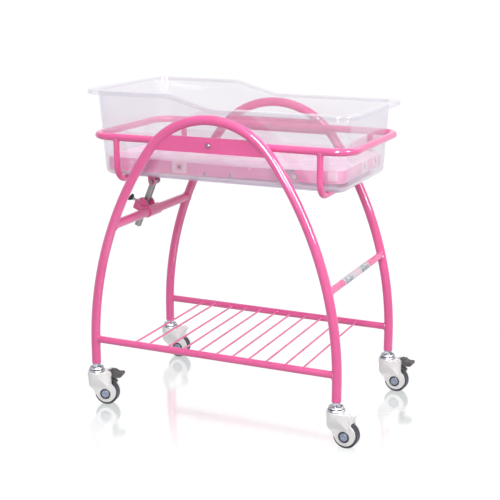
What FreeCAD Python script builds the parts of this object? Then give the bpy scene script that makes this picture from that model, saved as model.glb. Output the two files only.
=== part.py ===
import FreeCAD, Part
import math
import os

V = FreeCAD.Vector

# ---------------------------------------------------------------------------
# Hospital bassinet: tubular trolley with two arched end-to-end frames, a tilting
# cradle that carries a clear tub with a mattress, a wire shelf, a tilt strut
# and four swivel casters.  Millimetres, +Z up, X along the tub (head end at -X).
# The shapes are drawn about the middle of the four legs and saved about the
# middle of the whole part, ORIGIN_X further along, on the floor.
# ---------------------------------------------------------------------------

ORIGIN_X = 25.6

# main frame
LEG_X = 350.0            # half distance between the legs of one arch
ARCH_Y = 214.0           # half distance between the two arches
TUBE_D = 25.0            # main tube
FOOT_D = 19.0            # cross tube under the foot end
TUBE_T = 1.5
LEG_Z = 116.0            # lower end of the tube
STRAIGHT_Z = 164.0       # top of the straight part of a leg
SIDE_R = 940.0           # large bend of a leg
TOP_R = 212.0            # bend of the crown
PLATE_Z = 739.0          # pivot height
PLATE_H = 40.0
PLATE_T = 5.0
CROSS_L_Z = 508.5        # cross tube under the head end
CROSS_R_Z = 393.0        # cross tube under the foot end

# shelf
SHELF_Z = 184.5
RAIL_D = 19.0
RAIL_T = 1.2
ROD_D = 5.0
ROD_Z = 186.5
ROD_X = [-232.0, -192.0, -134.0, -88.0, -42.0, 9.0, 55.0, 102.0, 150.0, 204.0, 254.0]

# cradle
RING_D = 19.0
RING_T = 1.2
RING_Z = 740.0
RING_XL = -355.5
RING_XR = 366.0
RING_Y = 191.0
RING_R = 50.0            # corner bend on the centre line
HANG_XL = -280.0
HANG_XR = 288.0
HANG_D = 16.0            # hanger tube
HANG_T = 1.2
HANG_Z = 625.4           # centre of the bar under the tub
HANG_R = 40.0

# tub
TUB_CX = 1.5             # middle of the tub along X
TUB_Z0 = 633.6
TUB_ZH = 862.0           # rim, head end
TUB_ZL = 829.0           # rim, foot end
TUB_X0, TUB_Y0 = 341.5, 168.0    # half sizes at the bottom
TUB_X1, TUB_Y1 = 352.0, 187.0    # half sizes at the height of the head rim
TUB_R0, TUB_R1 = 32.0, 38.0
TUB_RB = 20.0
TUB_T = 3.0
RIM_X, RIM_Y = 376.5, 212.0
RIM_R = 56.0
RIM_LIP = 12.0
STEP_XA, STEP_XB = -118.0, 4.0   # the rim falls between these

# mattress
MAT_Z0, MAT_Z1 = 637.4, 683.4     # at the head end
MAT_X, MAT_Y = 337.0, 160.0
MAT_TILT = 0.8           # degrees; the foot end rides up on the tub's rounded bottom edge

# strut
CLEV = V(-277.0, 0, 592.0)       # pin of the tilt strut
STRUT_W = 15.0
STRUT_END = 143.0                # pin to lower end
STRUT_D = 25.5                   # strut axis to cross tube axis

# casters
WHEEL_R = 32.5
WHEEL_W = 25.4
TRAIL = 29.5
CASTERS = {"front_left": (-LEG_X, -ARCH_Y, 11.0, True),
           "front_right": (LEG_X, -ARCH_Y, -4.0, False),
           "rear_right": (LEG_X, ARCH_Y, -4.5, True),
           "rear_left": (-LEG_X, ARCH_Y, 7.0, False)}

OUT = "parts"
os.makedirs(OUT, exist_ok=True)


# ---------------------------------------------------------------------------
# helpers
# ---------------------------------------------------------------------------
def save(name, shape):
    if shape.ShapeType == "Compound" and len(shape.Solids) == 1:
        shape = shape.Solids[0]
    shape = shape.copy()
    shape.translate(V(-ORIGIN_X, 0, 0))
    ok = shape.isValid()
    shape.exportStep(os.path.join(OUT, name + ".step"))
    print("%-28s solids %2d valid %s volume %.0f" % (name, len(shape.Solids), ok, shape.Volume))


def group(shapes):
    return Part.makeCompound([s for sh in shapes for s in sh.Solids])


def cyl(p, d, r, length):
    return Part.makeCylinder(r, length, p, d)


def cyl2(a, b, r):
    d = b.sub(a)
    return Part.makeCylinder(r, d.Length, a, d)


def ring_between(a, b, ro, ri):
    return cyl2(a, b, ro).cut(cyl2(a, b, ri))


def box(x0, x1, y0, y1, z0, z1):
    return Part.makeBox(x1 - x0, y1 - y0, z1 - z0, V(x0, y0, z0))


def sweep(edges, start, direction, r):
    path = Part.Wire(edges)
    prof = Part.Wire([Part.makeCircle(r, start, direction)])
    s = path.makePipeShell([prof], True, False)
    if not s.isValid() or s.Volume < 0:
        s.fix(0.01, 0.01, 0.01)
    if s.Volume < 0:
        s.reverse()
    return s


def revolve(points, origin, axis, angle=360.0):
    w = Part.makePolygon(points + [points[0]])
    return Part.Face(w).revolve(origin, axis, angle)


def rrect(hx, hy, r, z, cx=0.0, cy=0.0):
    x0, x1, y0, y1 = cx - hx, cx + hx, cy - hy, cy + hy
    k = r * (1 - math.sqrt(0.5))
    e = [Part.LineSegment(V(x0 + r, y0, z), V(x1 - r, y0, z)),
         Part.Arc(V(x1 - r, y0, z), V(x1 - k, y0 + k, z), V(x1, y0 + r, z)),
         Part.LineSegment(V(x1, y0 + r, z), V(x1, y1 - r, z)),
         Part.Arc(V(x1, y1 - r, z), V(x1 - k, y1 - k, z), V(x1 - r, y1, z)),
         Part.LineSegment(V(x1 - r, y1, z), V(x0 + r, y1, z)),
         Part.Arc(V(x0 + r, y1, z), V(x0 + k, y1 - k, z), V(x0, y1 - r, z)),
         Part.LineSegment(V(x0, y1 - r, z), V(x0, y0 + r, z)),
         Part.Arc(V(x0, y0 + r, z), V(x0 + k, y0 + k, z), V(x0 + r, y0, z))]
    return Part.Wire([s.toShape() for s in e])


def prism(hx, hy, r, z0, z1, cx=0.0):
    return Part.Face(rrect(hx, hy, r, z0, cx)).extrude(V(0, 0, z1 - z0))


def try_fillet(shape, r, edges):
    try:
        s = shape.makeFillet(r, edges)
        if s.isValid() and s.Volume > 0:
            return s
    except Exception:
        pass
    print("  fillet %.1f left out" % r)
    return shape


def try_chamfer(shape, r, edges):
    try:
        s = shape.makeChamfer(r, edges)
        if s.isValid() and s.Volume > 0:
            return s
    except Exception:
        pass
    print("  chamfer %.1f left out" % r)
    return shape


# ---------------------------------------------------------------------------
# arches
# ---------------------------------------------------------------------------
ARCH_T = math.acos((SIDE_R - LEG_X) / (SIDE_R - TOP_R))      # end angle of the side bend
CROWN_Z = STRAIGHT_Z + (SIDE_R - TOP_R) * math.sin(ARCH_T)   # centre of the crown bend


def arch_half(z):
    """Half width of the arch's centre line at height z on its side bend."""
    if z <= STRAIGHT_Z:
        return LEG_X
    return LEG_X - SIDE_R + math.sqrt(SIDE_R ** 2 - (z - STRAIGHT_Z) ** 2)


def arch_edges(y, z0):
    cxr = LEG_X - SIDE_R

    def side(t, sgn):
        return V(sgn * (cxr + SIDE_R * math.cos(t)), y, STRAIGHT_Z + SIDE_R * math.sin(t))

    top = V(0, y, CROWN_Z + TOP_R)
    e = [Part.LineSegment(V(-LEG_X, y, z0), V(-LEG_X, y, STRAIGHT_Z)),
         Part.Arc(side(0, -1), side(ARCH_T / 2, -1), side(ARCH_T, -1)),
         Part.Arc(side(ARCH_T, -1), top, side(ARCH_T, 1)),
         Part.Arc(side(ARCH_T, 1), side(ARCH_T / 2, 1), side(0, 1)),
         Part.LineSegment(V(LEG_X, y, STRAIGHT_Z), V(LEG_X, y, z0))]
    return [s.toShape() for s in e]


def arch_solid(y, r, z0=LEG_Z):
    return sweep(arch_edges(y, z0), V(-LEG_X, y, z0), V(0, 0, 1), r)


print("crown top %.1f" % (CROWN_Z + TOP_R + TUBE_D / 2))
arch_out = {}
for name, y in (("front_arch", -ARCH_Y), ("rear_arch", ARCH_Y)):
    outer = arch_solid(y, TUBE_D / 2)
    inner = arch_solid(y, TUBE_D / 2 - TUBE_T, LEG_Z)
    arch_out[y] = outer
    save(name, outer.cut(inner))

# pivot plates: flat bars welded between the two sides of each arch
BUSH_D = 14.0
for name, y in (("front_pivot_plate", -ARCH_Y), ("rear_pivot_plate", ARCH_Y)):
    p = box(-200, 200, y - PLATE_T / 2, y + PLATE_T / 2, PLATE_Z - PLATE_H / 2, PLATE_Z + PLATE_H / 2)
    p = p.cut(arch_out[y])
    mid = [s for s in p.Solids if s.BoundBox.XMin < 0 < s.BoundBox.XMax]
    p = mid[0].cut(cyl(V(0, y - 10, PLATE_Z), V(0, 1, 0), BUSH_D / 2, 20))
    save(name, p)

# cross tubes, mitred onto the arches
CROSS_LX = -arch_half(CROSS_L_Z)
CROSS_RX = arch_half(CROSS_R_Z)


def between_arches(x, z, ro, ri):
    t = cyl(V(x, -ARCH_Y, z), V(0, 1, 0), ro, 2 * ARCH_Y)
    if ri:
        t = t.cut(cyl(V(x, -ARCH_Y, z), V(0, 1, 0), ri, 2 * ARCH_Y))
    t = t.cut(arch_out[-ARCH_Y]).cut(arch_out[ARCH_Y])
    return max(t.Solids, key=lambda s: s.Volume)


save("head_cross_tube", between_arches(CROSS_LX, CROSS_L_Z, TUBE_D / 2, TUBE_D / 2 - TUBE_T))
save("foot_cross_tube", between_arches(CROSS_RX, CROSS_R_Z, FOOT_D / 2, FOOT_D / 2 - TUBE_T))

# blank label wrapped over the foot cross tube
lab = ring_between(V(CROSS_RX, -109, CROSS_R_Z), V(CROSS_RX, 83, CROSS_R_Z), FOOT_D / 2 + 0.4, FOOT_D / 2)
cut = Part.makeBox(60, 300, 60, V(-30, -150, -60))
cut.rotate(V(0, 0, 0), V(0, 1, 0), 20)
cut.translate(V(CROSS_RX, 0, CROSS_R_Z - 3.0))
save("blank_label", lab.cut(cut))

# shelf rails and rods
rails = {}
for name, y in (("shelf_front_rail", -ARCH_Y), ("shelf_rear_rail", ARCH_Y)):
    t = cyl(V(-LEG_X, y, SHELF_Z), V(1, 0, 0), RAIL_D / 2, 2 * LEG_X)
    rails[y] = t
    t = t.cut(cyl(V(-LEG_X, y, SHELF_Z), V(1, 0, 0), RAIL_D / 2 - RAIL_T, 2 * LEG_X))
    t = t.cut(arch_out[y])
    save(name, max(t.Solids, key=lambda s: s.Volume))
rods = []
for x in ROD_X:
    r = cyl(V(x, -ARCH_Y, ROD_Z), V(0, 1, 0), ROD_D / 2, 2 * ARCH_Y)
    r = r.cut(rails[-ARCH_Y]).cut(rails[ARCH_Y])
    rods.append(max(r.Solids, key=lambda s: s.Volume))
save("shelf_rods", group(rods))

# threaded inserts in the lower ends of the legs
STEM_R = 5.0
ins = []
for x in (-LEG_X, LEG_X):
    for y in (-ARCH_Y, ARCH_Y):
        pts = [V(x + STEM_R, y, LEG_Z - 2.4), V(x + TUBE_D / 2 - 2.2, y, LEG_Z - 2.4),
               V(x + TUBE_D / 2 - 0.5, y, LEG_Z - 0.9), V(x + TUBE_D / 2 - 0.2, y, LEG_Z),
               V(x + TUBE_D / 2 - TUBE_T, y, LEG_Z), V(x + TUBE_D / 2 - TUBE_T, y, LEG_Z + 30),
               V(x + STEM_R, y, LEG_Z + 30)]
        ins.append(revolve(pts, V(x, y, 0), V(0, 0, 1)))
save("leg_inserts", group(ins))

# flanged bushes in the pivot plates
BOLT_R = 4.0
bush = []
for s in (-1, 1):
    y0 = s * ARCH_Y
    out = y0 + s * PLATE_T / 2
    inn = y0 - s * PLATE_T / 2
    b = cyl2(V(0, inn, PLATE_Z), V(0, out, PLATE_Z), BUSH_D / 2)
    b = b.fuse(cyl2(V(0, out, PLATE_Z), V(0, out + s * 1.6, PLATE_Z), 7.8))
    b = b.cut(cyl2(V(0, inn - s, PLATE_Z), V(0, out + s * 3, PLATE_Z), BOLT_R + 0.05)).removeSplitter()
    bush.append(b)
save("pivot_bushes", group(bush))

# ---------------------------------------------------------------------------
# cradle
# ---------------------------------------------------------------------------
def ring_solid(r):
    hx = (RING_XR - RING_XL) / 2
    cx = (RING_XR + RING_XL) / 2
    path = rrect(hx, RING_Y, RING_R, RING_Z, cx, 0)
    start = V(cx, -RING_Y, RING_Z)
    # start the sweep in the middle of the front side
    x0, x1, y0, y1, R = RING_XL, RING_XR, -RING_Y, RING_Y, RING_R
    k = R * (1 - math.sqrt(0.5))
    z = RING_Z
    e = [Part.LineSegment(V(cx, y0, z), V(x1 - R, y0, z)),
         Part.Arc(V(x1 - R, y0, z), V(x1 - k, y0 + k, z), V(x1, y0 + R, z)),
         Part.LineSegment(V(x1, y0 + R, z), V(x1, y1 - R, z)),
         Part.Arc(V(x1, y1 - R, z), V(x1 - k, y1 - k, z), V(x1 - R, y1, z)),
         Part.LineSegment(V(x1 - R, y1, z), V(cx, y1, z))]
    f = [Part.LineSegment(V(cx, y1, z), V(x0 + R, y1, z)),
         Part.Arc(V(x0 + R, y1, z), V(x0 + k, y1 - k, z), V(x0, y1 - R, z)),
         Part.LineSegment(V(x0, y1 - R, z), V(x0, y0 + R, z)),
         Part.Arc(V(x0, y0 + R, z), V(x0 + k, y0 + k, z), V(x0 + R, y0, z)),
         Part.LineSegment(V(x0 + R, y0, z), V(cx, y0, z))]
    a = sweep([s.toShape() for s in e], start, V(1, 0, 0), r)
    b = sweep([s.toShape() for s in f], V(cx, y1, z), V(-1, 0, 0), r)
    return a, b


ra, rb = ring_solid(RING_D / 2)
ia, ib = ring_solid(RING_D / 2 - RING_T)
ring_outer = ra.fuse(rb)
ring = ra.cut(ia).fuse(rb.cut(ib)).removeSplitter()
BOSS_R = 8.0
BOSS_OUT = ARCH_Y - PLATE_T / 2 - 0.4
BOSS_IN = RING_Y - 9.0
for s in (-1, 1):
    ring = ring.cut(cyl2(V(0, s * (BOSS_IN - 8), PLATE_Z), V(0, s * (BOSS_OUT + 4), PLATE_Z), BOSS_R))
# vent hole under the foot end
ring = ring.cut(cyl(V(RING_XR, 0, RING_Z - 14), V(0, 0, 1), 2.0, 10))
save("ring_tube", ring)


def hanger(x, r):
    z0, y, R = HANG_Z, RING_Y, HANG_R
    k = R * (1 - math.sqrt(0.5))
    top = RING_Z
    e = [Part.LineSegment(V(x, -y, top), V(x, -y, z0 + R)),
         Part.Arc(V(x, -y, z0 + R), V(x, -y + k, z0 + k), V(x, -y + R, z0)),
         Part.LineSegment(V(x, -y + R, z0), V(x, y - R, z0)),
         Part.Arc(V(x, y - R, z0), V(x, y - k, z0 + k), V(x, y, z0 + R)),
         Part.LineSegment(V(x, y, z0 + R), V(x, y, top))]
    return sweep([s.toShape() for s in e], V(x, -y, top), V(0, 0, -1), r)


for name, x in (("head_hanger", HANG_XL), ("foot_hanger", HANG_XR)):
    h = hanger(x, HANG_D / 2).cut(hanger(x, HANG_D / 2 - HANG_T)).cut(ring_outer)
    save(name, max(h.Solids, key=lambda s: s.Volume))

bolts, bosses = [], []
for s in (-1, 1):
    a = V(0, s * BOSS_IN, PLATE_Z)
    b = V(0, s * BOSS_OUT, PLATE_Z)
    bosses.append(cyl2(a, b, BOSS_R).cut(cyl2(V(0, s * (BOSS_IN - 1), PLATE_Z), V(0, s * (BOSS_OUT + 1), PLATE_Z), BOLT_R)))
    out = s * (ARCH_Y + PLATE_T / 2 + 1.6)
    gap = s * 0.3
    shank = cyl2(V(0, s * (BOSS_IN + 1), PLATE_Z), V(0, out + gap, PLATE_Z), BOLT_R)
    # button head with a hexagon socket
    hb = out + gap
    pts = [V(0, hb, PLATE_Z), V(5.4, hb, PLATE_Z), V(5.4, hb + s * 1.0, PLATE_Z), V(4.8, hb + s * 2.4, PLATE_Z),
           V(3.6, hb + s * 3.4, PLATE_Z), V(0, hb + s * 3.8, PLATE_Z)]
    head = revolve(pts, V(0, 0, PLATE_Z), V(0, 1, 0))
    hexw = Part.makePolygon([V(2.2 * math.cos(math.radians(60 * i)), hb + s * 1.6, PLATE_Z + 2.2 * math.sin(math.radians(60 * i))) for i in range(7)])
    hx = Part.Face(hexw).extrude(V(0, s * 5, 0))
    if head.Volume < 0:
        head.reverse()
    bolts.append(shank.fuse(head).cut(hx).removeSplitter())
save("pivot_bosses", group(bosses))
save("pivot_bolts", group(bolts))

# ---------------------------------------------------------------------------
# tilt strut, its bracket under the head hanger and its clamp on the cross tube
# ---------------------------------------------------------------------------
PIN_R = 3.0
hang_out = hanger(HANG_XL, HANG_D / 2)
B = V(CROSS_LX, 0, CROSS_L_Z)
cb = CLEV.sub(B)
beta = math.atan2(cb.x, cb.z)
alpha = beta + math.asin(STRUT_D / cb.Length)
U = V(math.sin(alpha), 0, math.cos(alpha))        # along the strut, upward
N = V(-math.cos(alpha), 0, math.sin(alpha))       # away from the cross tube
Y = V(0, 1, 0)
print("strut angle %.2f deg, pin to foot %.1f" % (math.degrees(alpha), math.sqrt(cb.Length ** 2 - STRUT_D ** 2)))

LUG_T = 4.0
LUG_Y = 11.0            # inner face of a lug
lugs = []
for s in (-1, 1):
    y0 = LUG_Y if s > 0 else -LUG_Y - LUG_T
    w = 10.0
    pts = [V(HANG_XL - w, y0, HANG_Z), V(HANG_XL + w, y0, HANG_Z), V(CLEV.x + w, y0, CLEV.z), V(CLEV.x - w, y0, CLEV.z)]
    lug = Part.Face(Part.makePolygon(pts + [pts[0]])).extrude(V(0, LUG_T, 0))
    lug = lug.fuse(cyl(V(CLEV.x, y0, CLEV.z), Y, w, LUG_T))
    lugs.append(lug.cut(hang_out).cut(cyl(V(CLEV.x, y0 - 1, CLEV.z), Y, PIN_R, LUG_T + 2)))
lugs = [max(l.Solids, key=lambda s: s.Volume) for l in lugs]
bridge = box(CLEV.x - 10, CLEV.x + 10, -LUG_Y, LUG_Y, HANG_Z - 10.0, HANG_Z - 7.5)
bridge = bridge.cut(hang_out)
bridge = group([max(bridge.Solids, key=lambda s: s.Volume)])
brk = lugs[0].fuse(lugs[1]).fuse(bridge).removeSplitter()
save("strut_bracket", brk)

pin = cyl(V(CLEV.x, -LUG_Y - LUG_T - 3.0, CLEV.z), Y, PIN_R, 2 * (LUG_Y + LUG_T) + 11.0)
hexp = [V(CLEV.x + 5.2 * math.cos(math.radians(60 * i + 10)), -LUG_Y - LUG_T, CLEV.z + 5.2 * math.sin(math.radians(60 * i + 10))) for i in range(7)]
head = Part.Face(Part.makePolygon(hexp)).extrude(V(0, -4.0, 0))
nutp = [V(CLEV.x + 9.2 * math.cos(math.radians(60 * i + 25)), LUG_Y + LUG_T, CLEV.z + 9.2 * math.sin(math.radians(60 * i + 25))) for i in range(7)]
nut = Part.Face(Part.makePolygon(nutp)).extrude(V(0, 6.5, 0)).cut(cyl(V(CLEV.x, LUG_Y, CLEV.z), Y, PIN_R, 20))
save("strut_pin", pin.fuse(head).removeSplitter())
save("strut_pin_nut", nut)


def local(u, n, y):
    """Point in the clamp's frame: u along the strut from the cross tube, n away from it."""
    return V(B.x + U.x * u + N.x * n, y, B.z + U.z * u + N.z * n)


def bar(u0, u1, n0, n1, y0, y1):
    f = Part.Face(Part.makePolygon([local(u0, n0, y0), local(u1, n0, y0), local(u1, n1, y0), local(u0, n1, y0), local(u0, n0, y0)]))
    return f.extrude(V(0, y1 - y0, 0))


u_pin = math.sqrt(cb.Length ** 2 - STRUT_D ** 2)
h = STRUT_W / 2
strut = bar(u_pin - STRUT_END, u_pin, STRUT_D - h, STRUT_D + h, -h, h)
strut = try_fillet(strut, 2.0, [e for e in strut.Edges if e.Length > 120])
strut = strut.fuse(cyl(V(CLEV.x, -9.0, CLEV.z), Y, 8.6, 18.0))
# lengthwise grooves on the two broad faces and the edges
for y0, y1 in ((-h - 1, -h + 1.2), (h - 1.2, h + 1)):
    strut = strut.cut(bar(u_pin - STRUT_END - 1, u_pin - 16, STRUT_D - 2.6, STRUT_D + 2.6, y0, y1))
for n0, n1 in ((STRUT_D - h - 1, STRUT_D - h + 1.2), (STRUT_D + h - 1.2, STRUT_D + h + 1)):
    strut = strut.cut(bar(u_pin - STRUT_END - 1, u_pin - 16, n0, n1, -2.6, 2.6))
strut = strut.cut(cyl(V(CLEV.x, -12.0, CLEV.z), Y, PIN_R + 0.05, 24.0)).removeSplitter()
save("tilt_strut", strut)

# clamp: sleeve turning on the cross tube with a guide box for the strut
SLV_R = 16.0
BOX_U0, BOX_U1 = -15.0, 12.5
BOX_N = 50.0
BOX_Y = 19.0
GUIDE = 4.2              # free play across the strut
CHEEK_U = 25.0
CHEEK_T = 4.0
sleeve = cyl(V(B.x, -33, B.z), Y, SLV_R, 66)
body = bar(BOX_U0, BOX_U1, 2.0, BOX_N, -BOX_Y, BOX_Y)
body = try_fillet(body, 2.5, [e for e in body.Edges if abs(e.Length - 2 * BOX_Y) < 0.1 and (e.CenterOfMass.sub(B)).dot(N) > 30])
gus = []
for s in (-1, 1):
    pts = [local(-6, 12.0, s * BOX_Y), local(-6, 40.0, s * BOX_Y), local(-6, 12.0, s * 31.0)]
    g = Part.Face(Part.makePolygon(pts + [pts[0]])).extrude(U * 12.0)
    gus.append(g)
body = body.fuse(sleeve).fuse(gus[0]).fuse(gus[1])
# cheeks that stand up either side of the strut
for s in (-1, 1):
    y0 = s * BOX_Y if s < 0 else BOX_Y - CHEEK_T
    pts = [local(u, n, y0) for u, n in ((0.0, 6.0), (12.0, 4.0), (CHEEK_U - 3.0, 15.0), (CHEEK_U, 21.0), (CHEEK_U, 36.0), (CHEEK_U - 2.0, 38.0), (0.0, 38.0))]
    body = body.fuse(Part.Face(Part.makePolygon(pts + [pts[0]])).extrude(V(0, CHEEK_T, 0)))
body = body.cut(cyl(V(B.x, -40, B.z), Y, TUBE_D / 2 + 0.05, 80))
body = body.cut(bar(BOX_U0 - 1, BOX_U1 + 1, STRUT_D - h - GUIDE, STRUT_D + h + GUIDE, -h - 1.0, h + 1.0))
SCR_U = 2.0
SCR_R = 4.0
a = local(SCR_U, STRUT_D + h + GUIDE - 1, 0)
body = body.cut(cyl(a, N, SCR_R, 40)).removeSplitter()
save("strut_clamp", body)

# clamp screw with a two-winged knob
scr = cyl(local(SCR_U, STRUT_D + h + GUIDE + 0.5, 0), N, SCR_R - 0.05, 68.0 - (STRUT_D + h + GUIDE + 0.5))
save("clamp_screw", scr)
kb = cyl(local(SCR_U, 66.0, 0), N, 5.5, 12.0)
kb = try_fillet(kb, 1.5, [e for e in kb.Edges if e.Curve.TypeId == "Part::GeomCircle"])
T = Y * math.cos(math.radians(35)) + U * math.sin(math.radians(35))
Q = T.cross(N)
c0 = local(SCR_U, 68.0, 0)


def wing(sgn):
    p = []
    for t, n in ((0, 0), (sgn * 6, 0.5), (sgn * 10, 3.0), (sgn * 12, 7.0), (sgn * 10.5, 11.0), (sgn * 7.5, 11.5), (sgn * 4, 8.0), (0, 7.5)):
        p.append(c0 + T * t + N * n - Q * 2.5)
    f = Part.Face(Part.makePolygon(p + [p[0]]))
    w = f.extrude(Q * 5.0)
    return w


wg = wing(1).fuse(wing(-1))
wg = try_fillet(wg, 1.2, wg.Edges)
knob = kb.fuse(wg).cut(cyl(local(SCR_U, 60.0, 0), N, SCR_R - 0.05, 8.0)).removeSplitter()
save("clamp_knob", knob)

# ---------------------------------------------------------------------------
# tub
# ---------------------------------------------------------------------------
def tub_body(off, z0, z1):
    """Tapered tub body, walls moved in by off, between two heights."""
    def sec(z):
        t = (z - TUB_Z0) / (TUB_ZH - TUB_Z0)
        return rrect(TUB_X0 + (TUB_X1 - TUB_X0) * t - off, TUB_Y0 + (TUB_Y1 - TUB_Y0) * t - off,
                     max(TUB_R0 + (TUB_R1 - TUB_R0) * t - off, 3), z, TUB_CX, 0)
    return Part.makeLoft([sec(z0), sec(z1)], True, True)


def rim_region(drop0, drop1, y):
    """Band under the rim line, between two depths, extruded across the tub."""
    R = 70.0

    def line(d):
        # rim line moved down by d, with rounded knees made of arcs
        a = math.atan2(TUB_ZH - TUB_ZL, STEP_XB - STEP_XA)
        k = R * math.tan(a / 2)
        p1 = V(STEP_XA - k, -y, TUB_ZH - d)
        p2 = V(STEP_XA + k * math.cos(a), -y, TUB_ZH - d - k * math.sin(a))
        m1 = V(STEP_XA - k + R * math.sin(a / 2), -y, TUB_ZH - d - R * (1 - math.cos(a / 2)))
        q1 = V(STEP_XB - k * math.cos(a), -y, TUB_ZL - d + k * math.sin(a))
        q2 = V(STEP_XB + k, -y, TUB_ZL - d)
        m2 = V(STEP_XB + k - R * math.sin(a / 2), -y, TUB_ZL - d + R * (1 - math.cos(a / 2)))
        return p1, m1, p2, q1, m2, q2
    X = 420.0
    a1, am, a2, b1, bm, b2 = line(drop0)
    c1, cm, c2, d1, dm, d2 = line(drop1)
    e = [Part.LineSegment(V(-X, -y, TUB_ZH - drop0), a1), Part.Arc(a1, am, a2), Part.LineSegment(a2, b1),
         Part.Arc(b1, bm, b2), Part.LineSegment(b2, V(X, -y, TUB_ZL - drop0)),
         Part.LineSegment(V(X, -y, TUB_ZL - drop0), V(X, -y, TUB_ZL - drop1)),
         Part.LineSegment(V(X, -y, TUB_ZL - drop1), d2), Part.Arc(d2, dm, d1), Part.LineSegment(d1, c2),
         Part.Arc(c2, cm, c1), Part.LineSegment(c1, V(-X, -y, TUB_ZH - drop1)),
         Part.LineSegment(V(-X, -y, TUB_ZH - drop1), V(-X, -y, TUB_ZH - drop0))]
    return Part.Face(Part.Wire([s.toShape() for s in e])).extrude(V(0, 2 * y, 0))


outer = tub_body(0, TUB_Z0, TUB_ZH)
outer = try_fillet(outer, TUB_RB, [e for e in outer.Edges if e.BoundBox.ZMax < TUB_Z0 + 0.1])
inner = tub_body(TUB_T, TUB_Z0 + TUB_T, TUB_ZH + 6.0)
inner = try_fillet(inner, TUB_RB - TUB_T, [e for e in inner.Edges if e.BoundBox.ZMax < TUB_Z0 + TUB_T + 0.1])
above = rim_region(-60.0, 0.0, 260.0)
shell = outer.cut(inner).cut(above)
sheet = rim_region(0.0, TUB_T, 260.0).common(prism(RIM_X, RIM_Y, RIM_R, 780, 900, TUB_CX)).cut(inner)
lip = prism(RIM_X, RIM_Y, RIM_R, 780, 900, TUB_CX).cut(prism(RIM_X - TUB_T, RIM_Y - TUB_T, RIM_R - TUB_T, 770, 910, TUB_CX)).common(rim_region(0.0, RIM_LIP, 260.0))
tub = shell.fuse(sheet).fuse(lip).removeSplitter()
rim_edges = []
for e in tub.Edges:
    bb = e.BoundBox
    c = e.CenterOfMass
    if c.z > 805:
        p = e.valueAt((e.FirstParameter + e.LastParameter) / 2)
        # distance to the outer outline
        px = abs(p.x - TUB_CX)
        dx = px - (RIM_X - RIM_R)
        dy = abs(p.y) - (RIM_Y - RIM_R)
        if dx > 0 and dy > 0:
            d = RIM_R - math.hypot(dx, dy)
        else:
            d = min(RIM_X - px, RIM_Y - abs(p.y))
        if abs(d) < 0.05:
            # upper edge only
            t = (p.x - STEP_XA) / (STEP_XB - STEP_XA)
            zt = TUB_ZH if t < 0 else TUB_ZL if t > 1 else TUB_ZH + (TUB_ZL - TUB_ZH) * t
            if p.z > zt - 5 and e.Length > 3 and bb.ZLength < 60:
                if not (bb.XLength < 0.01 and bb.YLength < 0.01):
                    rim_edges.append(e)
print("tub solids %d valid %s rim edges %d" % (len(tub.Solids), tub.isValid(), len(rim_edges)))
tub = try_fillet(tub, 2.2, rim_edges)
save("clear_tub", tub)

# ---------------------------------------------------------------------------
# mattress
# ---------------------------------------------------------------------------
m = prism(MAT_X, MAT_Y, 34.0, MAT_Z0, MAT_Z1, TUB_CX)
m = try_fillet(m, 16.0, [e for e in m.Edges if e.BoundBox.ZMax < MAT_Z0 + 0.1])
m = try_fillet(m, 8.0, [e for e in m.Edges if e.BoundBox.ZMin > MAT_Z1 - 0.1])
m.rotate(V(TUB_CX - MAT_X, 0, MAT_Z0), V(0, 1, 0), -MAT_TILT)
save("mattress", m)

# ---------------------------------------------------------------------------
# casters, built at the origin with the trail along +X, then placed
# ---------------------------------------------------------------------------
AX = V(TRAIL, 0, WHEEL_R)
FORK_TOP = 92.0
PIN_TOP = LEG_Z + 24.0
SWIV_R = 5.0


def profile(points, y0, y1):
    pts = [V(p[0], y0, p[1]) for p in points]
    return Part.Face(Part.makePolygon(pts + [pts[0]])).extrude(V(0, y1 - y0, 0))


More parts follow.
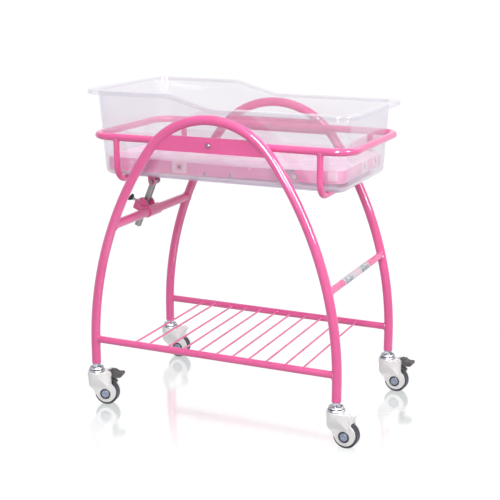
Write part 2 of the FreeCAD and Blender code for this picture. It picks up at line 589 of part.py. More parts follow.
def caster(brake):
    out = {}
    # stem: threaded pin, collar and pressed upper race in one riveted piece
    pts = [V(0, 0, 78.0), V(SWIV_R - 0.05, 0, 78.0), V(SWIV_R - 0.05, 0, 98.6), V(18.2, 0, 98.6), V(19.8, 0, 99.4),
           V(19.8, 0, 101.6), V(18.9, 0, 103.6), V(17.6, 0, 104.4), V(16.2, 0, 104.4), V(15.0, 0, 103.2), V(14.3, 0, 101.8),
           V(12.4, 0, 101.8), V(11.9, 0, 103.0), V(11.6, 0, 104.0), V(11.6, 0, LEG_Z - 3.4), V(10.6, 0, LEG_Z - 2.4),
           V(STEM_R, 0, LEG_Z - 2.4), V(STEM_R, 0, PIN_TOP), V(0, 0, PIN_TOP)]
    stem = revolve(pts, V(0, 0, 0), V(0, 0, 1))
    hexc = Part.makePolygon([V(11.7 * math.cos(math.radians(60 * i)), 11.7 * math.sin(math.radians(60 * i)), 104.0) for i in range(7)])
    collar = revolve([V(STEM_R, 0, 105.4), V(14, 0, 105.4), V(14, 0, LEG_Z - 1.0), V(STEM_R, 0, LEG_Z - 1.0)], V(0, 0, 0), V(0, 0, 1))
    stem = stem.cut(collar.cut(Part.Face(hexc).extrude(V(0, 0, 20)))).removeSplitter()
    out["stem"] = stem
    # lower race, turning with the fork
    pts = [V(SWIV_R, 0, FORK_TOP), V(21.9, 0, FORK_TOP), V(22.8, 0, FORK_TOP + 1.0), V(22.8, 0, FORK_TOP + 3.4),
           V(21.6, 0, FORK_TOP + 5.0), V(20.4, 0, FORK_TOP + 5.6), V(SWIV_R, 0, FORK_TOP + 5.6)]
    out["race"] = revolve(pts, V(0, 0, 0), V(0, 0, 1))
    # fork: hooded shell
    ws = 18.5                                   # half width over the cheeks
    rd = 28.2                                   # radius of the cheek discs
    DX, DZ = 1.2, 4.6                           # the discs sit a little behind and above the axle
    side = [(-14.0, 88.0), (-18.0, 84.0), (-18.0, 60.0), (-16.5, 53.0), (-12.5, 47.5), (-3.0, 41.0), (0, 30.0), (30, 20.0),
            (52, 32.0), (55.5, 42.0), (49.5, 54.0), (45.5, 66.0), (45.5, 78.0), (42.0, 89.0), (33.0, 95.0), (26.2, 95.5),
            (25.6, 88.0)]
    cheeks = profile(side, -ws, ws).fuse(cyl(V(AX.x + DX, -ws, AX.z + DZ), V(0, 1, 0), rd, 2 * ws))
    # the shell flares from the cheeks out to the hood
    flare = profile([(-17.0, 84.0), (-17.0, 62.0), (-12.0, 52.0), (4.0, 46.0), (30.0, 46.0), (42.0, 56.0), (44.0, 68.0), (44.0, 80.0),
                     (40.5, 90.0), (26.0, 91.0), (-10.0, 91.0)], -25.2, 25.2)
    half = [(18.2, 40), (18.2, 48.0), (20.3, 57.0), (22.4, 64.0), (24.2, 72.0), (25.0, 80.0), (25.1, 96.0)]
    trap = [V(-30, y, z) for y, z in half] + [V(-30, -y, z) for y, z in reversed(half)]
    trap = Part.Face(Part.makePolygon(trap + [trap[0]])).extrude(V(90, 0, 0))
    plan = cyl(V(0, 0, 30), V(0, 0, 1), 25.3, 70).fuse(
        Part.Face(Part.makePolygon([V(0, -25.3, 30), V(10, -25.3, 30), V(26, -22.6, 30), V(41, -18.3, 30), V(41, 18.3, 30), V(26, 22.6, 30), V(10, 25.3, 30),
                                    V(0, 25.3, 30), V(0, -25.3, 30)])).extrude(V(0, 0, 70)))
    flare = flare.common(trap).common(plan)
    # round hood under the race
    hood = revolve([V(0, 0, 48.0), V(9.0, 0, 49.0), V(15.5, 0, 52.0), V(19.6, 0, 57.0), V(22.4, 0, 64.0), V(24.4, 0, 72.0),
                    V(25.6, 0, 83.0), V(25.0, 0, 90.0), V(24.2, 0, FORK_TOP), V(0, 0, FORK_TOP)], V(0, 0, 0), V(0, 0, 1))
    back = profile([(0, 60), (10, 54), (40, 58), (44.0, 68.0), (44.0, 80.0), (40, 91.0), (33.0, 95.5), (26.2, 96.0), (25.6, FORK_TOP), (0, FORK_TOP)], -18.3, 18.3)
    back = try_fillet(back, 7.0, [e for e in back.Edges if e.BoundBox.XMin > 32.0 and e.BoundBox.YLength < 0.1 and e.BoundBox.ZMin > 56])
    fork = cheeks.fuse(hood).fuse(back).fuse(flare)
    if brake:
        # ears either side of the pedal's pivot
        fork = fork.fuse(cyl(V(37.5, -ws, 88.0), V(0, 1, 0), 9.8, 2 * ws))
    if not brake:
        tail = profile([(30, 96.4), (36, 96.6), (54.5, 90.5), (55.0, 88.0), (50.0, 80.0), (45.6, 75.0), (40.0, 73.0), (30, 80)], -14.0, 14.0)
        tail = try_fillet(tail, 1.5, [e for e in tail.Edges if e.BoundBox.XMin > 40 and e.BoundBox.YLength > 20])
        fork = fork.fuse(tail)
    fork = fork.removeSplitter()
    wheel_room = cyl(V(AX.x, -13.2, AX.z), V(0, 1, 0), WHEEL_R + 2.5, 26.4)
    wheel_room = wheel_room.fuse(box(AX.x - WHEEL_R - 2.5, AX.x + WHEEL_R + 2.5, -13.2, 13.2, -10, AX.z))
    # open the back over the wheel
    wheel_room = wheel_room.fuse(profile([(AX.x + 6, AX.z), (AX.x + 6, 64.6), (43.0, 66.8), (60.0, 60.6), (70.0, AX.z)], -13.2, 13.2))
    fork = fork.cut(wheel_room)
    fork = fork.cut(cyl(V(0, 0, 60), V(0, 0, 1), SWIV_R, 60))
    fork = fork.cut(cyl(V(0, 0, 60), V(0, 0, 1), 9.0, 19.0))
    fork = fork.cut(cyl(V(AX.x, -30, AX.z), V(0, 1, 0), 4.0, 60))
    # seats of the dark caps
    for s in (-1, 1):
        fork = fork.cut(cyl2(V(AX.x, s * (ws - 0.8), AX.z), V(AX.x, s * (ws + 3), AX.z), 15.0))
    if brake:
        # slot for the pedal arm
        fork = fork.cut(box(31.0, 70.0, -10.5, 10.5, 65.0, 110.0))
        fork = fork.cut(cyl(V(37.5, -19.0, 88.0), V(0, 1, 0), 2.5, 38.0))
    fork = max(fork.Solids, key=lambda s: s.Volume)
    out["fork"] = fork
    # wheel
    hw = WHEEL_W / 2
    hub = revolve([V(AX.x + 4.05, -hw + 0.5, AX.z), V(AX.x + 9.5, -hw + 0.5, AX.z), V(AX.x + 11.0, -hw + 3.0, AX.z), V(AX.x + 20.0, -hw + 3.0, AX.z),
                   V(AX.x + 21.5, -hw + 1.2, AX.z), V(AX.x + 25.0, -hw + 1.2, AX.z),
                   V(AX.x + 25.0, hw - 1.2, AX.z), V(AX.x + 21.5, hw - 1.2, AX.z), V(AX.x + 20.0, hw - 3.0, AX.z), V(AX.x + 11.0, hw - 3.0, AX.z),
                   V(AX.x + 9.5, hw - 0.5, AX.z), V(AX.x + 4.05, hw - 0.5, AX.z)], AX, V(0, 1, 0))
    out["hub"] = hub
    R = WHEEL_R
    tp = [V(AX.x + 25.0, -hw + 1.0, AX.z), V(AX.x + 27.5, -hw, AX.z), V(AX.x + 30.4, -hw, AX.z), V(AX.x + 31.6, -hw + 0.7, AX.z),
          V(AX.x + R - 0.2, -hw + 2.0, AX.z), V(AX.x + R, -hw + 4.0, AX.z), V(AX.x + R, hw - 4.0, AX.z), V(AX.x + R - 0.2, hw - 2.0, AX.z),
          V(AX.x + 31.6, hw - 0.7, AX.z), V(AX.x + 30.4, hw, AX.z), V(AX.x + 27.5, hw, AX.z), V(AX.x + 25.0, hw - 1.0, AX.z)]
    out["tyre"] = revolve(tp, AX, V(0, 1, 0))
    # axle with domed heads
    axle = cyl(V(AX.x, -ws - 0.6, AX.z), V(0, 1, 0), 4.0, 2 * ws + 1.2)
    for s in (-1, 1):
        y0 = s * (ws + 0.4)
        d = revolve([V(AX.x, y0, AX.z), V(AX.x + 10.5, y0, AX.z), V(AX.x + 10.5, y0 + s * 0.8, AX.z), V(AX.x + 9.4, y0 + s * 1.6, AX.z),
                     V(AX.x + 4.2, y0 + s * 2.0, AX.z), V(AX.x + 3.4, y0 + s * 1.3, AX.z), V(AX.x, y0 + s * 1.3, AX.z)], AX, V(0, 1, 0))
        if d.Volume < 0:
            d.reverse()
        axle = axle.fuse(d)
    out["axle"] = axle.removeSplitter()
    caps = []
    for s in (-1, 1):
        y0 = s * (ws - 0.8)
        c = revolve([V(AX.x + 4.0, y0, AX.z), V(AX.x + 15.0, y0, AX.z), V(AX.x + 15.0, y0 + s * 1.6, AX.z), V(AX.x + 14.0, y0 + s * 2.6, AX.z),
                     V(AX.x + 11.8, y0 + s * 2.6, AX.z), V(AX.x + 10.7, y0 + s * 1.2, AX.z), V(AX.x + 4.0, y0 + s * 1.2, AX.z)], AX, V(0, 1, 0))
        if c.Volume < 0:
            c.reverse()
        caps.append(c)
    out["caps"] = group(caps)
    if brake:
        # pedal lever: pivot eye, foot pad and shoe over the tread
        prof = [(40.0, 98.6), (45.0, 100.2), (49.5, 99.4), (53.0, 98.4), (53.0, 79.0), (50.0, 79.6), (43.5, 80.5), (34.5, 84.5), (33.5, 92.0),
                (36.0, 95.5)]
        arm = profile(prof, -10.0, 10.0)
        prof = [(49.6, 98.6), (52.0, 98.9), (56.5, 95.6), (61.0, 93.4), (66.0, 92.6), (71.0, 93.6), (75.0, 93.4), (77.0, 91.0), (76.8, 86.5),
                (74.2, 82.4), (69.0, 80.4), (60.0, 80.0), (52.5, 80.8), (49.6, 82.6)]
        pad = profile(prof, -13.5, 13.5)
        pad = try_fillet(pad, 1.4, [e for e in pad.Edges if e.BoundBox.YLength > 15 and e.BoundBox.XMin > 62])
        pad = arm.fuse(pad)
        shoe = profile([(36.5, 84.5), (42.0, 86.0), (44.6, 76.5), (47.8, 73.2), (55.6, 70.2), (59.0, 65.8), (57.0, 62.3), (47.6, 67.8), (42.6, 71.5), (38.0, 78.0)], -7.0, 7.0)
        ped = pad.fuse(shoe)
        # grip ribs
        for i in range(4):
            x = 48.0 + 5.6 * i
            ped = ped.cut(box(x, x + 1.5, -11, 11, 98.0 - 0.34 * (x - 48), 110))
        ped = ped.cut(cyl(V(37.5, -19.0, 88.0), V(0, 1, 0), 2.55, 38.0))
        ped = max(ped.Solids, key=lambda s: s.Volume)
        out["pedal"] = ped.removeSplitter()
        out["pin"] = cyl(V(37.5, -19.0, 88.0), V(0, 1, 0), 2.5, 38.0)
    return out


LABEL = {"stem": "caster_stem", "race": "caster_race", "fork": "caster_fork", "hub": "wheel_hub", "tyre": "wheel_tyre",
         "axle": "wheel_axle", "caps": "axle_caps", "pedal": "brake_pedal", "pin": "pedal_pin"}
for where, (x, y, turn, brake) in CASTERS.items():
    for key, shape in caster(brake).items():
        s = shape.copy()
        s.rotate(V(0, 0, 0), V(0, 0, 1), turn)
        s.translate(V(x, y, 0))
        save(LABEL[key] + "_" + where, s)
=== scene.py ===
import math

import bmesh
import bpy
import numpy as np
from mathutils import Matrix, Vector, noise
from mathutils.bvhtree import BVHTree


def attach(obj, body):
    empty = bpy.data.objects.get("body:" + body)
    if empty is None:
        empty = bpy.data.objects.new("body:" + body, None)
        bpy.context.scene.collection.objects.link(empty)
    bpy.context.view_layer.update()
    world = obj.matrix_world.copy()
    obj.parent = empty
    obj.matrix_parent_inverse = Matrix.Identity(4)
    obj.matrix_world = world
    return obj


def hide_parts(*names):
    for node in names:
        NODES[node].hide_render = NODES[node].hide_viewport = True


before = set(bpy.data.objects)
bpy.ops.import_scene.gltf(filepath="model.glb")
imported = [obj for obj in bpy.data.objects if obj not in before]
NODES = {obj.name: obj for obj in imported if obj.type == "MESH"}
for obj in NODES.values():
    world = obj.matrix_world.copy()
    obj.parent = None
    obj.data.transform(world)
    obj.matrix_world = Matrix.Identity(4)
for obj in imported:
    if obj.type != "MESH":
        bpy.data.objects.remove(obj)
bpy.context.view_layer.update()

OX = 25.6                      # the shapes below are drawn in millimetres about the middle of the legs


def M(x, y, z):
    return Vector(((x - OX) / 1000.0, y / 1000.0, z / 1000.0))


# ---------------------------------------------------------------------------
# camera
# ---------------------------------------------------------------------------
scene = bpy.context.scene
AZ, EL = 0.4226, 0.2484
cam_data = bpy.data.cameras.new("camera")
cam = bpy.data.objects.new("camera", cam_data)
scene.collection.objects.link(cam)
cam.location = M(1229.37, -2696.97, 1173.13)
back = Vector((math.sin(AZ) * math.cos(EL), -math.cos(AZ) * math.cos(EL), math.sin(EL)))
cam.rotation_mode = "QUATERNION"
cam.rotation_quaternion = (-back).to_track_quat("-Z", "Y")
cam_data.sensor_width = 36.0
cam_data.lens = 80.647
cam_data.clip_start, cam_data.clip_end = 0.05, 100.0
scene.camera = cam
scene.view_settings.view_transform = "Standard"
scene.view_settings.look = "None"


# ---------------------------------------------------------------------------
# shader helpers
# ---------------------------------------------------------------------------
class Mat:
    """A material with its node tree and a short way to make linked nodes."""

    def __init__(self, name):
        self.m = bpy.data.materials.new(name)
        self.m.use_nodes = True
        self.nt = self.m.node_tree
        self.nt.nodes.clear()
        self.out = self.nt.nodes.new("ShaderNodeOutputMaterial")
        self.co = self.nt.nodes.new("ShaderNodeTexCoord").outputs["Object"]

    def node(self, kind, **props):
        n = self.nt.nodes.new(kind)
        for k, v in props.items():
            setattr(n, k, v)
        return n

    def link(self, a, b):
        self.nt.links.new(a, b)

    def put(self, socket, value):
        if isinstance(value, bpy.types.NodeSocket):
            self.link(value, socket)
        else:
            socket.default_value = value

    def noise(self, scale, detail=3.0, rough=0.5, distort=0.0, co=None, out="Fac"):
        n = self.node("ShaderNodeTexNoise")
        self.link(co or self.co, n.inputs["Vector"])
        n.inputs["Scale"].default_value = scale
        n.inputs["Detail"].default_value = detail
        n.inputs["Roughness"].default_value = rough
        n.inputs["Distortion"].default_value = distort
        return n.outputs[out]

    def scaled(self, x, y, z, co=None, loc=(0, 0, 0), rot=(0, 0, 0)):
        n = self.node("ShaderNodeMapping")
        self.link(co or self.co, n.inputs["Vector"])
        n.inputs["Scale"].default_value = (x, y, z)
        n.inputs["Location"].default_value = loc
        n.inputs["Rotation"].default_value = rot
        return n.outputs[0]

    def remap(self, v, a, b, c, d, smooth=False):
        n = self.node("ShaderNodeMapRange")
        if smooth:
            n.interpolation_type = "SMOOTHSTEP"
        self.put(n.inputs["Value"], v)
        for k, x in zip(("From Min", "From Max", "To Min", "To Max"), (a, b, c, d)):
            self.put(n.inputs[k], x)
        return n.outputs[0]

    def math(self, op, a, b=0.0, c=0.0, clamp=False):
        n = self.node("ShaderNodeMath", operation=op, use_clamp=clamp)
        for i, v in enumerate((a, b, c)):
            if i < len(n.inputs):
                self.put(n.inputs[i], v)
        return n.outputs[0]

    def mix(self, f, a, b):
        n = self.node("ShaderNodeMix", data_type="RGBA")
        self.put(n.inputs["Factor"], f)
        self.put(n.inputs["A"], a)
        self.put(n.inputs["B"], b)
        return n.outputs["Result"]

    def axes(self, co=None):
        n = self.node("ShaderNodeSeparateXYZ")
        self.link(co or self.co, n.inputs[0])
        return n.outputs

    def bump(self, height, strength, distance, normal=None):
        n = self.node("ShaderNodeBump")
        n.inputs["Strength"].default_value = strength
        n.inputs["Distance"].default_value = distance
        self.link(height, n.inputs["Height"])
        if normal is not None:
            self.link(normal, n.inputs["Normal"])
        return n.outputs[0]

    def principled(self, color, rough, metallic=0.0, normal=None, **more):
        n = self.node("ShaderNodeBsdfPrincipled")
        self.put(n.inputs["Base Color"], color)
        self.put(n.inputs["Roughness"], rough)
        self.put(n.inputs["Metallic"], metallic)
        if normal is not None:
            self.link(normal, n.inputs["Normal"])
        for k, v in more.items():
            self.put(n.inputs[k.replace("_", " ")], v)
        return n

    def done(self, shader):
        self.link(shader, self.out.inputs["Surface"])
        return self.m


def rgb(r, g, b, a=1.0):
    return (r, g, b, a)


# ---------------------------------------------------------------------------
# finishes
# ---------------------------------------------------------------------------
def pink_paint():
    k = Mat("pink_gloss_paint")
    cloud = k.noise(7.0, 4.0, 0.55)
    base = k.mix(k.remap(cloud, 0.35, 0.65, 0.0, 1.0), rgb(0.740, 0.092, 0.290), rgb(0.780, 0.106, 0.320))
    speck = k.noise(260.0, 2.0, 0.6)
    base = k.mix(k.remap(speck, 0.70, 0.80, 0.0, 0.22), base, rgb(0.60, 0.08, 0.26))
    scuff = k.noise(1.0, 5.0, 0.65, 0.4, co=k.scaled(34.0, 34.0, 9.0))
    rough = k.remap(scuff, 0.3, 0.75, 0.26, 0.38)
    peel = k.noise(620.0, 2.0, 0.5)
    wave = k.noise(60.0, 1.0, 0.4)
    n = k.bump(wave, 0.03, 0.0004)
    n = k.bump(peel, 0.04, 0.0002, n)
    p = k.principled(base, rough, normal=n, Specular_IOR_Level=0.12, Coat_Weight=1.0, Coat_Roughness=0.03, Coat_IOR=1.45)
    return k.done(p.outputs[0])


def weld_paint():
    k = Mat("pink_paint_on_welds")
    ripple = k.noise(420.0, 3.0, 0.6)
    base = k.mix(ripple, rgb(0.70, 0.105, 0.31), rgb(0.78, 0.14, 0.37))
    n = k.bump(ripple, 0.45, 0.0006)
    p = k.principled(base, 0.24, normal=n, Coat_Weight=0.4, Coat_Roughness=0.09)
    return k.done(p.outputs[0])


def zinc():
    k = Mat("bright_zinc_plate")
    blotch = k.noise(150.0, 4.0, 0.6)
    base = k.mix(k.remap(blotch, 0.36, 0.64, 0.0, 1.0), rgb(0.20, 0.21, 0.24), rgb(0.62, 0.635, 0.67))
    fine = k.noise(1.0, 4.0, 0.7, co=k.scaled(900.0, 900.0, 2600.0))
    rough = k.remap(fine, 0.3, 0.7, 0.24, 0.42)
    n = k.bump(fine, 0.12, 0.0002)
    p = k.principled(base, rough, 1.0, n)
    return k.done(p.outputs[0])


def dull_steel(name, dark, light):
    k = Mat(name)
    blotch = k.noise(260.0, 4.0, 0.6)
    base = k.mix(blotch, dark, light)
    fine = k.noise(1.0, 4.0, 0.7, co=k.scaled(1100.0, 1100.0, 1100.0))
    n = k.bump(fine, 0.18, 0.0002)
    p = k.principled(base, k.remap(fine, 0.3, 0.7, 0.30, 0.48), 0.9, n)
    return k.done(p.outputs[0])


def steel_strut():
    k = Mat("drawn_steel_strut")
    line = k.scaled(1800.0, 1800.0, 22.0, rot=(0.0, -math.radians(22.9), 0.0))
    streak = k.noise(1.0, 4.0, 0.6, co=line)
    base = k.mix(streak, rgb(0.12, 0.115, 0.12), rgb(0.40, 0.39, 0.40))
    rough = k.remap(streak, 0.3, 0.7, 0.28, 0.48)
    n = k.bump(streak, 0.22, 0.0002)
    p = k.principled(base, rough, 0.9, n)
    return k.done(p.outputs[0])


def moulded(name, dark, light, rough_lo, rough_hi, grain=700.0, strength=0.15, coat=0.0, sub=0.0, cloud_scale=40.0):
    k = Mat(name)
    cloud = k.noise(cloud_scale, 4.0, 0.6)
    fine = k.noise(grain, 3.0, 0.6)
    base = k.mix(k.remap(cloud, 0.3, 0.7, 0.0, 1.0), dark, light)
    rough = k.remap(fine, 0.3, 0.7, rough_lo, rough_hi)
    n = k.bump(fine, strength, 0.0003)
    more = {}
    if coat:
        more.update(Coat_Weight=coat, Coat_Roughness=0.1)
    if sub:
        more.update(Subsurface_Weight=sub, Subsurface_Scale=0.004)
    p = k.principled(base, rough, normal=n, **more)
    return k.done(p.outputs[0])


def caster_shell():
    k = Mat("cream_caster_shell")
    cloud = k.noise(55.0, 3.0, 0.5)
    z = k.axes()[2]
    low = k.remap(z, 0.0, 0.045, 0.35, 0.0, True)
    base = k.mix(k.remap(cloud, 0.3, 0.7, 0.0, 1.0), rgb(0.775, 0.755, 0.745), rgb(0.825, 0.805, 0.795))
    dust = k.math("MULTIPLY", low, k.noise(420.0, 3.0, 0.6))
    base = k.mix(dust, base, rgb(0.42, 0.40, 0.39))
    fine = k.noise(900.0, 2.0, 0.5)
    n = k.bump(fine, 0.08, 0.0002)
    p = k.principled(base, k.remap(fine, 0.3, 0.7, 0.30, 0.42), normal=n, Coat_Weight=0.15, Coat_Roughness=0.2)
    return k.done(p.outputs[0])


def tyre_rubber():
    k = Mat("navy_grey_tread")
    z = k.axes()[2]
    cloud = k.noise(70.0, 4.0, 0.6)
    fine = k.noise(1100.0, 3.0, 0.7)
    base = k.mix(cloud, rgb(0.005, 0.007, 0.018), rgb(0.012, 0.016, 0.034))
    dust = k.math("MULTIPLY", k.remap(z, 0.0, 0.02, 0.5, 0.0, True), fine)
    base = k.mix(dust, base, rgb(0.10, 0.10, 0.11))
    n = k.bump(fine, 0.2, 0.0003)
    p = k.principled(base, k.remap(fine, 0.3, 0.7, 0.34, 0.55), normal=n)
    return k.done(p.outputs[0])


def label_print():
    """Silver-white wrap with plain grey bars, no words. The silver of the bars carries a painted reflection: lighter
    on the upper side of the tube, darker below.
    """
    k = Mat("silver_label_painted_reflection")
    x, y, z = k.axes()
    base = rgb(0.56, 0.47, 0.55)

    def bar(y0, y1, soft=0.0015):
        return k.math("MULTIPLY", k.remap(y, y0 - soft, y0 + soft, 0.0, 1.0), k.remap(y, y1 - soft, y1 + soft, 1.0, 0.0))

    # painted reflection: the silver is lighter towards the top of the tube and darker underneath, with noise for a
    # painted sheen
    sheen = k.noise(1.0, 4.0, 0.7, co=k.scaled(160.0, 60.0, 90.0))
    painted_light_above = k.remap(z, 0.3870, 0.4010, -0.10, 0.55)
    painted_light_above = k.math("ADD", painted_light_above, k.remap(sheen, 0.40, 0.60, -0.25, 0.30))
    silver_painted_reflection = k.mix(k.remap(painted_light_above, 0.0, 1.0, 0.0, 1.0), rgb(0.05, 0.08, 0.11), rgb(0.66, 0.69, 0.72))
    f = k.math("MAXIMUM", bar(-0.104, -0.050, 0.006), bar(0.020, 0.078, 0.006))
    base = k.mix(f, base, silver_painted_reflection)
    base = k.mix(bar(-0.014, 0.002, 0.004), base, rgb(0.76, 0.44, 0.54))
    n = k.bump(k.noise(300.0, 2.0, 0.5), 0.06, 0.0002)
    p = k.principled(base, 0.28, 0.25, n, Coat_Weight=0.6, Coat_Roughness=0.08)
    return k.done(p.outputs[0])


def clear_plastic():
    """Thin clear moulded plastic: lets light through, with a milky haze that thickens edge on, and a brighter milky
    band just above the base that is a painted reflection of the floor.
    """
    k = Mat("clear_tub_plastic")
    face = k.node("ShaderNodeLayerWeight")
    face.inputs["Blend"].default_value = 0.5
    edge = face.outputs["Facing"]
    e3 = k.math("POWER", edge, 3.0)
    e5 = k.math("POWER", edge, 5.0)
    haze = k.noise(11.0, 3.0, 0.5)
    scratch = k.noise(1.0, 5.0, 0.7, 0.6, co=k.scaled(70.0, 70.0, 260.0))
    veil_and_painted_reflection = k.remap(haze, 0.3, 0.7, 0.056, 0.072)
    veil_and_painted_reflection = k.math("ADD", veil_and_painted_reflection, k.remap(scratch, 0.62, 0.80, 0.0, 0.03))
    veil_and_painted_reflection = k.math("ADD", veil_and_painted_reflection, k.math("MULTIPLY", e3, 0.20))
    tint = k.mix(e3, rgb(0.925, 0.914, 0.930), rgb(0.86, 0.84, 0.89))
    z = k.axes()[2]
    # painted reflection: a brighter milky band a few millimetres above the base stands in for the white floor seen in
    # the rounded bottom edge
    painted_base_reflection = k.math("MULTIPLY", k.remap(z, 0.6385, 0.6415, 0.0, 1.0), k.remap(z, 0.6475, 0.6520, 1.0, 0.0))
    veil_and_painted_reflection = k.math("ADD", veil_and_painted_reflection, k.math("MULTIPLY", painted_base_reflection, 0.22))
    tint = k.mix(k.remap(z, 0.6375, 0.6405, 0.75, 0.0), tint, rgb(0.82, 0.79, 0.89))
    wave = k.noise(26.0, 2.0, 0.4)
    n = k.bump(wave, 0.10, 0.0016)
    clear = k.node("ShaderNodeBsdfTransparent")
    k.link(tint, clear.inputs["Color"])
    milk_and_painted_reflection = k.node("ShaderNodeBsdfDiffuse")
    k.link(k.mix(painted_base_reflection, rgb(0.89, 0.885, 0.94), rgb(0.97, 0.95, 0.98)), milk_and_painted_reflection.inputs["Color"])
    a = k.node("ShaderNodeMixShader")
    k.link(veil_and_painted_reflection, a.inputs[0])
    k.link(clear.outputs[0], a.inputs[1])
    k.link(milk_and_painted_reflection.outputs[0], a.inputs[2])
    gloss = k.node("ShaderNodeBsdfGlossy")
    gloss.inputs["Color"].default_value = rgb(1, 1, 1)
    gloss.inputs["Roughness"].default_value = 0.10
    k.link(n, gloss.inputs["Normal"])
    f = k.math("MULTIPLY_ADD", e5, 0.80, 0.042)
    b = k.node("ShaderNodeMixShader")
    k.link(f, b.inputs[0])
    k.link(a.outputs[0], b.inputs[1])
    k.link(gloss.outputs[0], b.inputs[2])
    return k.done(b.outputs[0])


def mattress_cover():
    """Printed woven cover: pale top, pink sides, a plain print of squares, dots and diamonds."""
    k = Mat("printed_mattress_cover")
    x, y, z = k.axes()
    x = k.math("ADD", x, OX / 1000.0)
    # height above the lower edge, and the run round the side of the pad
    v = k.math("SUBTRACT", z, k.math("MULTIPLY_ADD", x, 0.0212, 0.6412 + 0.0212 * 0.335))
    nrm = k.node("ShaderNodeSeparateXYZ")
    k.link(k.node("ShaderNodeTexCoord").outputs["Normal"], nrm.inputs[0])
    up = k.remap(nrm.outputs[2], 0.45, 0.75, 0.0, 1.0, True)
    endr = k.math("GREATER_THAN", x, 0.306)
    endl = k.math("LESS_THAN", x, -0.303)
    turn = k.math("SUBTRACT", endr, endl)
    u = k.math("ADD", x, k.math("MULTIPLY", turn, k.math("ADD", y, 0.156)))

    stripes = k.noise(1.0, 3.0, 0.55, 0.3, co=k.scaled(9.0, 34.0, 3.0))
    top = k.mix(k.remap(stripes, 0.35, 0.65, 0.0, 1.0), rgb(0.88, 0.50, 0.68), rgb(0.93, 0.72, 0.83))
    blot = k.noise(16.0, 3.0, 0.5)
    side = k.mix(k.remap(blot, 0.35, 0.65, 0.0, 1.0), rgb(0.82, 0.22, 0.45), rgb(0.89, 0.31, 0.56))

    def both(a, b):
        return k.math("MULTIPLY", a, b)

    def box_at(cu, cv, hu, hv, uu, vv, soft=0.0010):
        a = k.math("ABSOLUTE", k.math("SUBTRACT", uu, cu))
        b = k.math("ABSOLUTE", k.math("SUBTRACT", vv, cv))
        return both(k.remap(a, hu - soft, hu + soft, 1.0, 0.0), k.remap(b, hv - soft, hv + soft, 1.0, 0.0))

    def spot(cu, cv, r, uu, vv, soft=0.0009):
        du, dv = k.math("SUBTRACT", uu, cu), k.math("SUBTRACT", vv, cv)
        d = k.math("SQRT", k.math("ADD", k.math("MULTIPLY", du, du), k.math("MULTIPLY", dv, dv)))
        return k.remap(d, r - soft, r + soft, 1.0, 0.0)

    def diamond(cu, cv, r, uu, vv, soft=0.0010):
        d = k.math("ADD", k.math("ABSOLUTE", k.math("SUBTRACT", uu, cu)), k.math("ABSOLUTE", k.math("SUBTRACT", vv, cv)))
        return k.remap(d, r - soft, r + soft, 1.0, 0.0)

    def over(base, mask, amount, colour):
        return k.mix(k.math("MULTIPLY", mask, amount), base, colour)

    # side: one repeat every 700 mm
    rep = k.math("SUBTRACT", k.math("WRAP", k.math("ADD", u, 0.464), 0.700, 0.0), 0.350)
    c = side
    ends = k.math("ABSOLUTE", turn)
    for cu, cv, w in ((0.0, 0.022, None), (-0.086, 0.020, ends)):
        def part(m):
            return m if w is None else both(m, w)
        c = over(c, part(box_at(cu, cv, 0.021, 0.015, rep, v)), 0.80, rgb(0.88, 0.74, 0.82))
        c = over(c, part(box_at(cu, cv, 0.0105, 0.0095, rep, v)), 0.85, rgb(0.88, 0.28, 0.46))
        c = over(c, part(spot(cu, cv, 0.0048, rep, v)), 1.0, rgb(0.06, 0.015, 0.03))
    for cu, cv in ((0.073, 0.008), (0.145, 0.007), (-0.190, 0.009)):
        c = over(c, box_at(cu, cv, 0.0024, 0.0060, rep, v), 0.90, rgb(0.20, 0.22, 0.40))
        c = over(c, spot(cu, cv - 0.003, 0.0040, rep, v), 0.90, rgb(0.20, 0.22, 0.40))
    c = over(c, spot(-0.140, 0.028, 0.0034, rep, v), 0.60, rgb(0.90, 0.78, 0.86))
    c = over(c, spot(0.200, 0.026, 0.0036, rep, v), 0.50, rgb(0.90, 0.78, 0.86))
    c = over(c, diamond(0.309, 0.029, 0.0125, rep, v), 0.85, rgb(0.24, 0.22, 0.26))
    c = over(c, diamond(0.322, 0.014, 0.0130, rep, v), 0.80, rgb(0.40, 0.34, 0.36))
    c = over(c, diamond(0.322, 0.014, 0.0060, rep, v), 0.70, rgb(0.90, 0.76, 0.82))
    c = over(c, box_at(-0.277, 0.020, 0.013, 0.012, rep, v), 0.60, rgb(0.88, 0.76, 0.83))
    # top: small squares and dots in a loose grid
    tu = k.math("SUBTRACT", k.math("WRAP", k.math("ADD", x, 0.40), 0.120, 0.0), 0.060)
    tv = k.math("SUBTRACT", k.math("WRAP", k.math("ADD", y, 0.50), 0.090, 0.0), 0.045)
    t = top
    t = over(t, box_at(0.012, 0.0, 0.015, 0.013, tu, tv), 0.65, rgb(0.95, 0.88, 0.92))
    t = over(t, box_at(0.012, 0.0, 0.0075, 0.0065, tu, tv), 0.80, rgb(0.86, 0.34, 0.52))
    t = over(t, spot(-0.038, 0.024, 0.0042, tu, tv), 0.75, rgb(0.34, 0.36, 0.56))
    t = over(t, diamond(-0.030, -0.024, 0.0100, tu, tv), 0.60, rgb(0.52, 0.44, 0.50))
    base = k.mix(up, c, t)
    # weave
    bands = {}
    for axis in "XYZ":
        w = k.node("ShaderNodeTexWave", wave_type="BANDS", bands_direction=axis)
        k.link(k.co, w.inputs["Vector"])
        w.inputs["Scale"].default_value = 420.0
        bands[axis] = w.outputs["Fac"]
    weave = k.math("MAXIMUM", both(bands["X"], bands["Z"]), both(bands["X"], bands["Y"]))
    crease = k.noise(1.0, 3.0, 0.5, 0.5, co=k.scaled(26.0, 40.0, 60.0))
    n = k.bump(crease, 0.30, 0.003)
    n = k.bump(weave, 0.25, 0.0004, n)
    base = k.mix(k.math("MULTIPLY", weave, 0.10), base, rgb(1, 1, 1))
    p = k.principled(base, 0.78, normal=n, Sheen_Weight=0.3, Sheen_Roughness=0.5)
    return k.done(p.outputs[0])


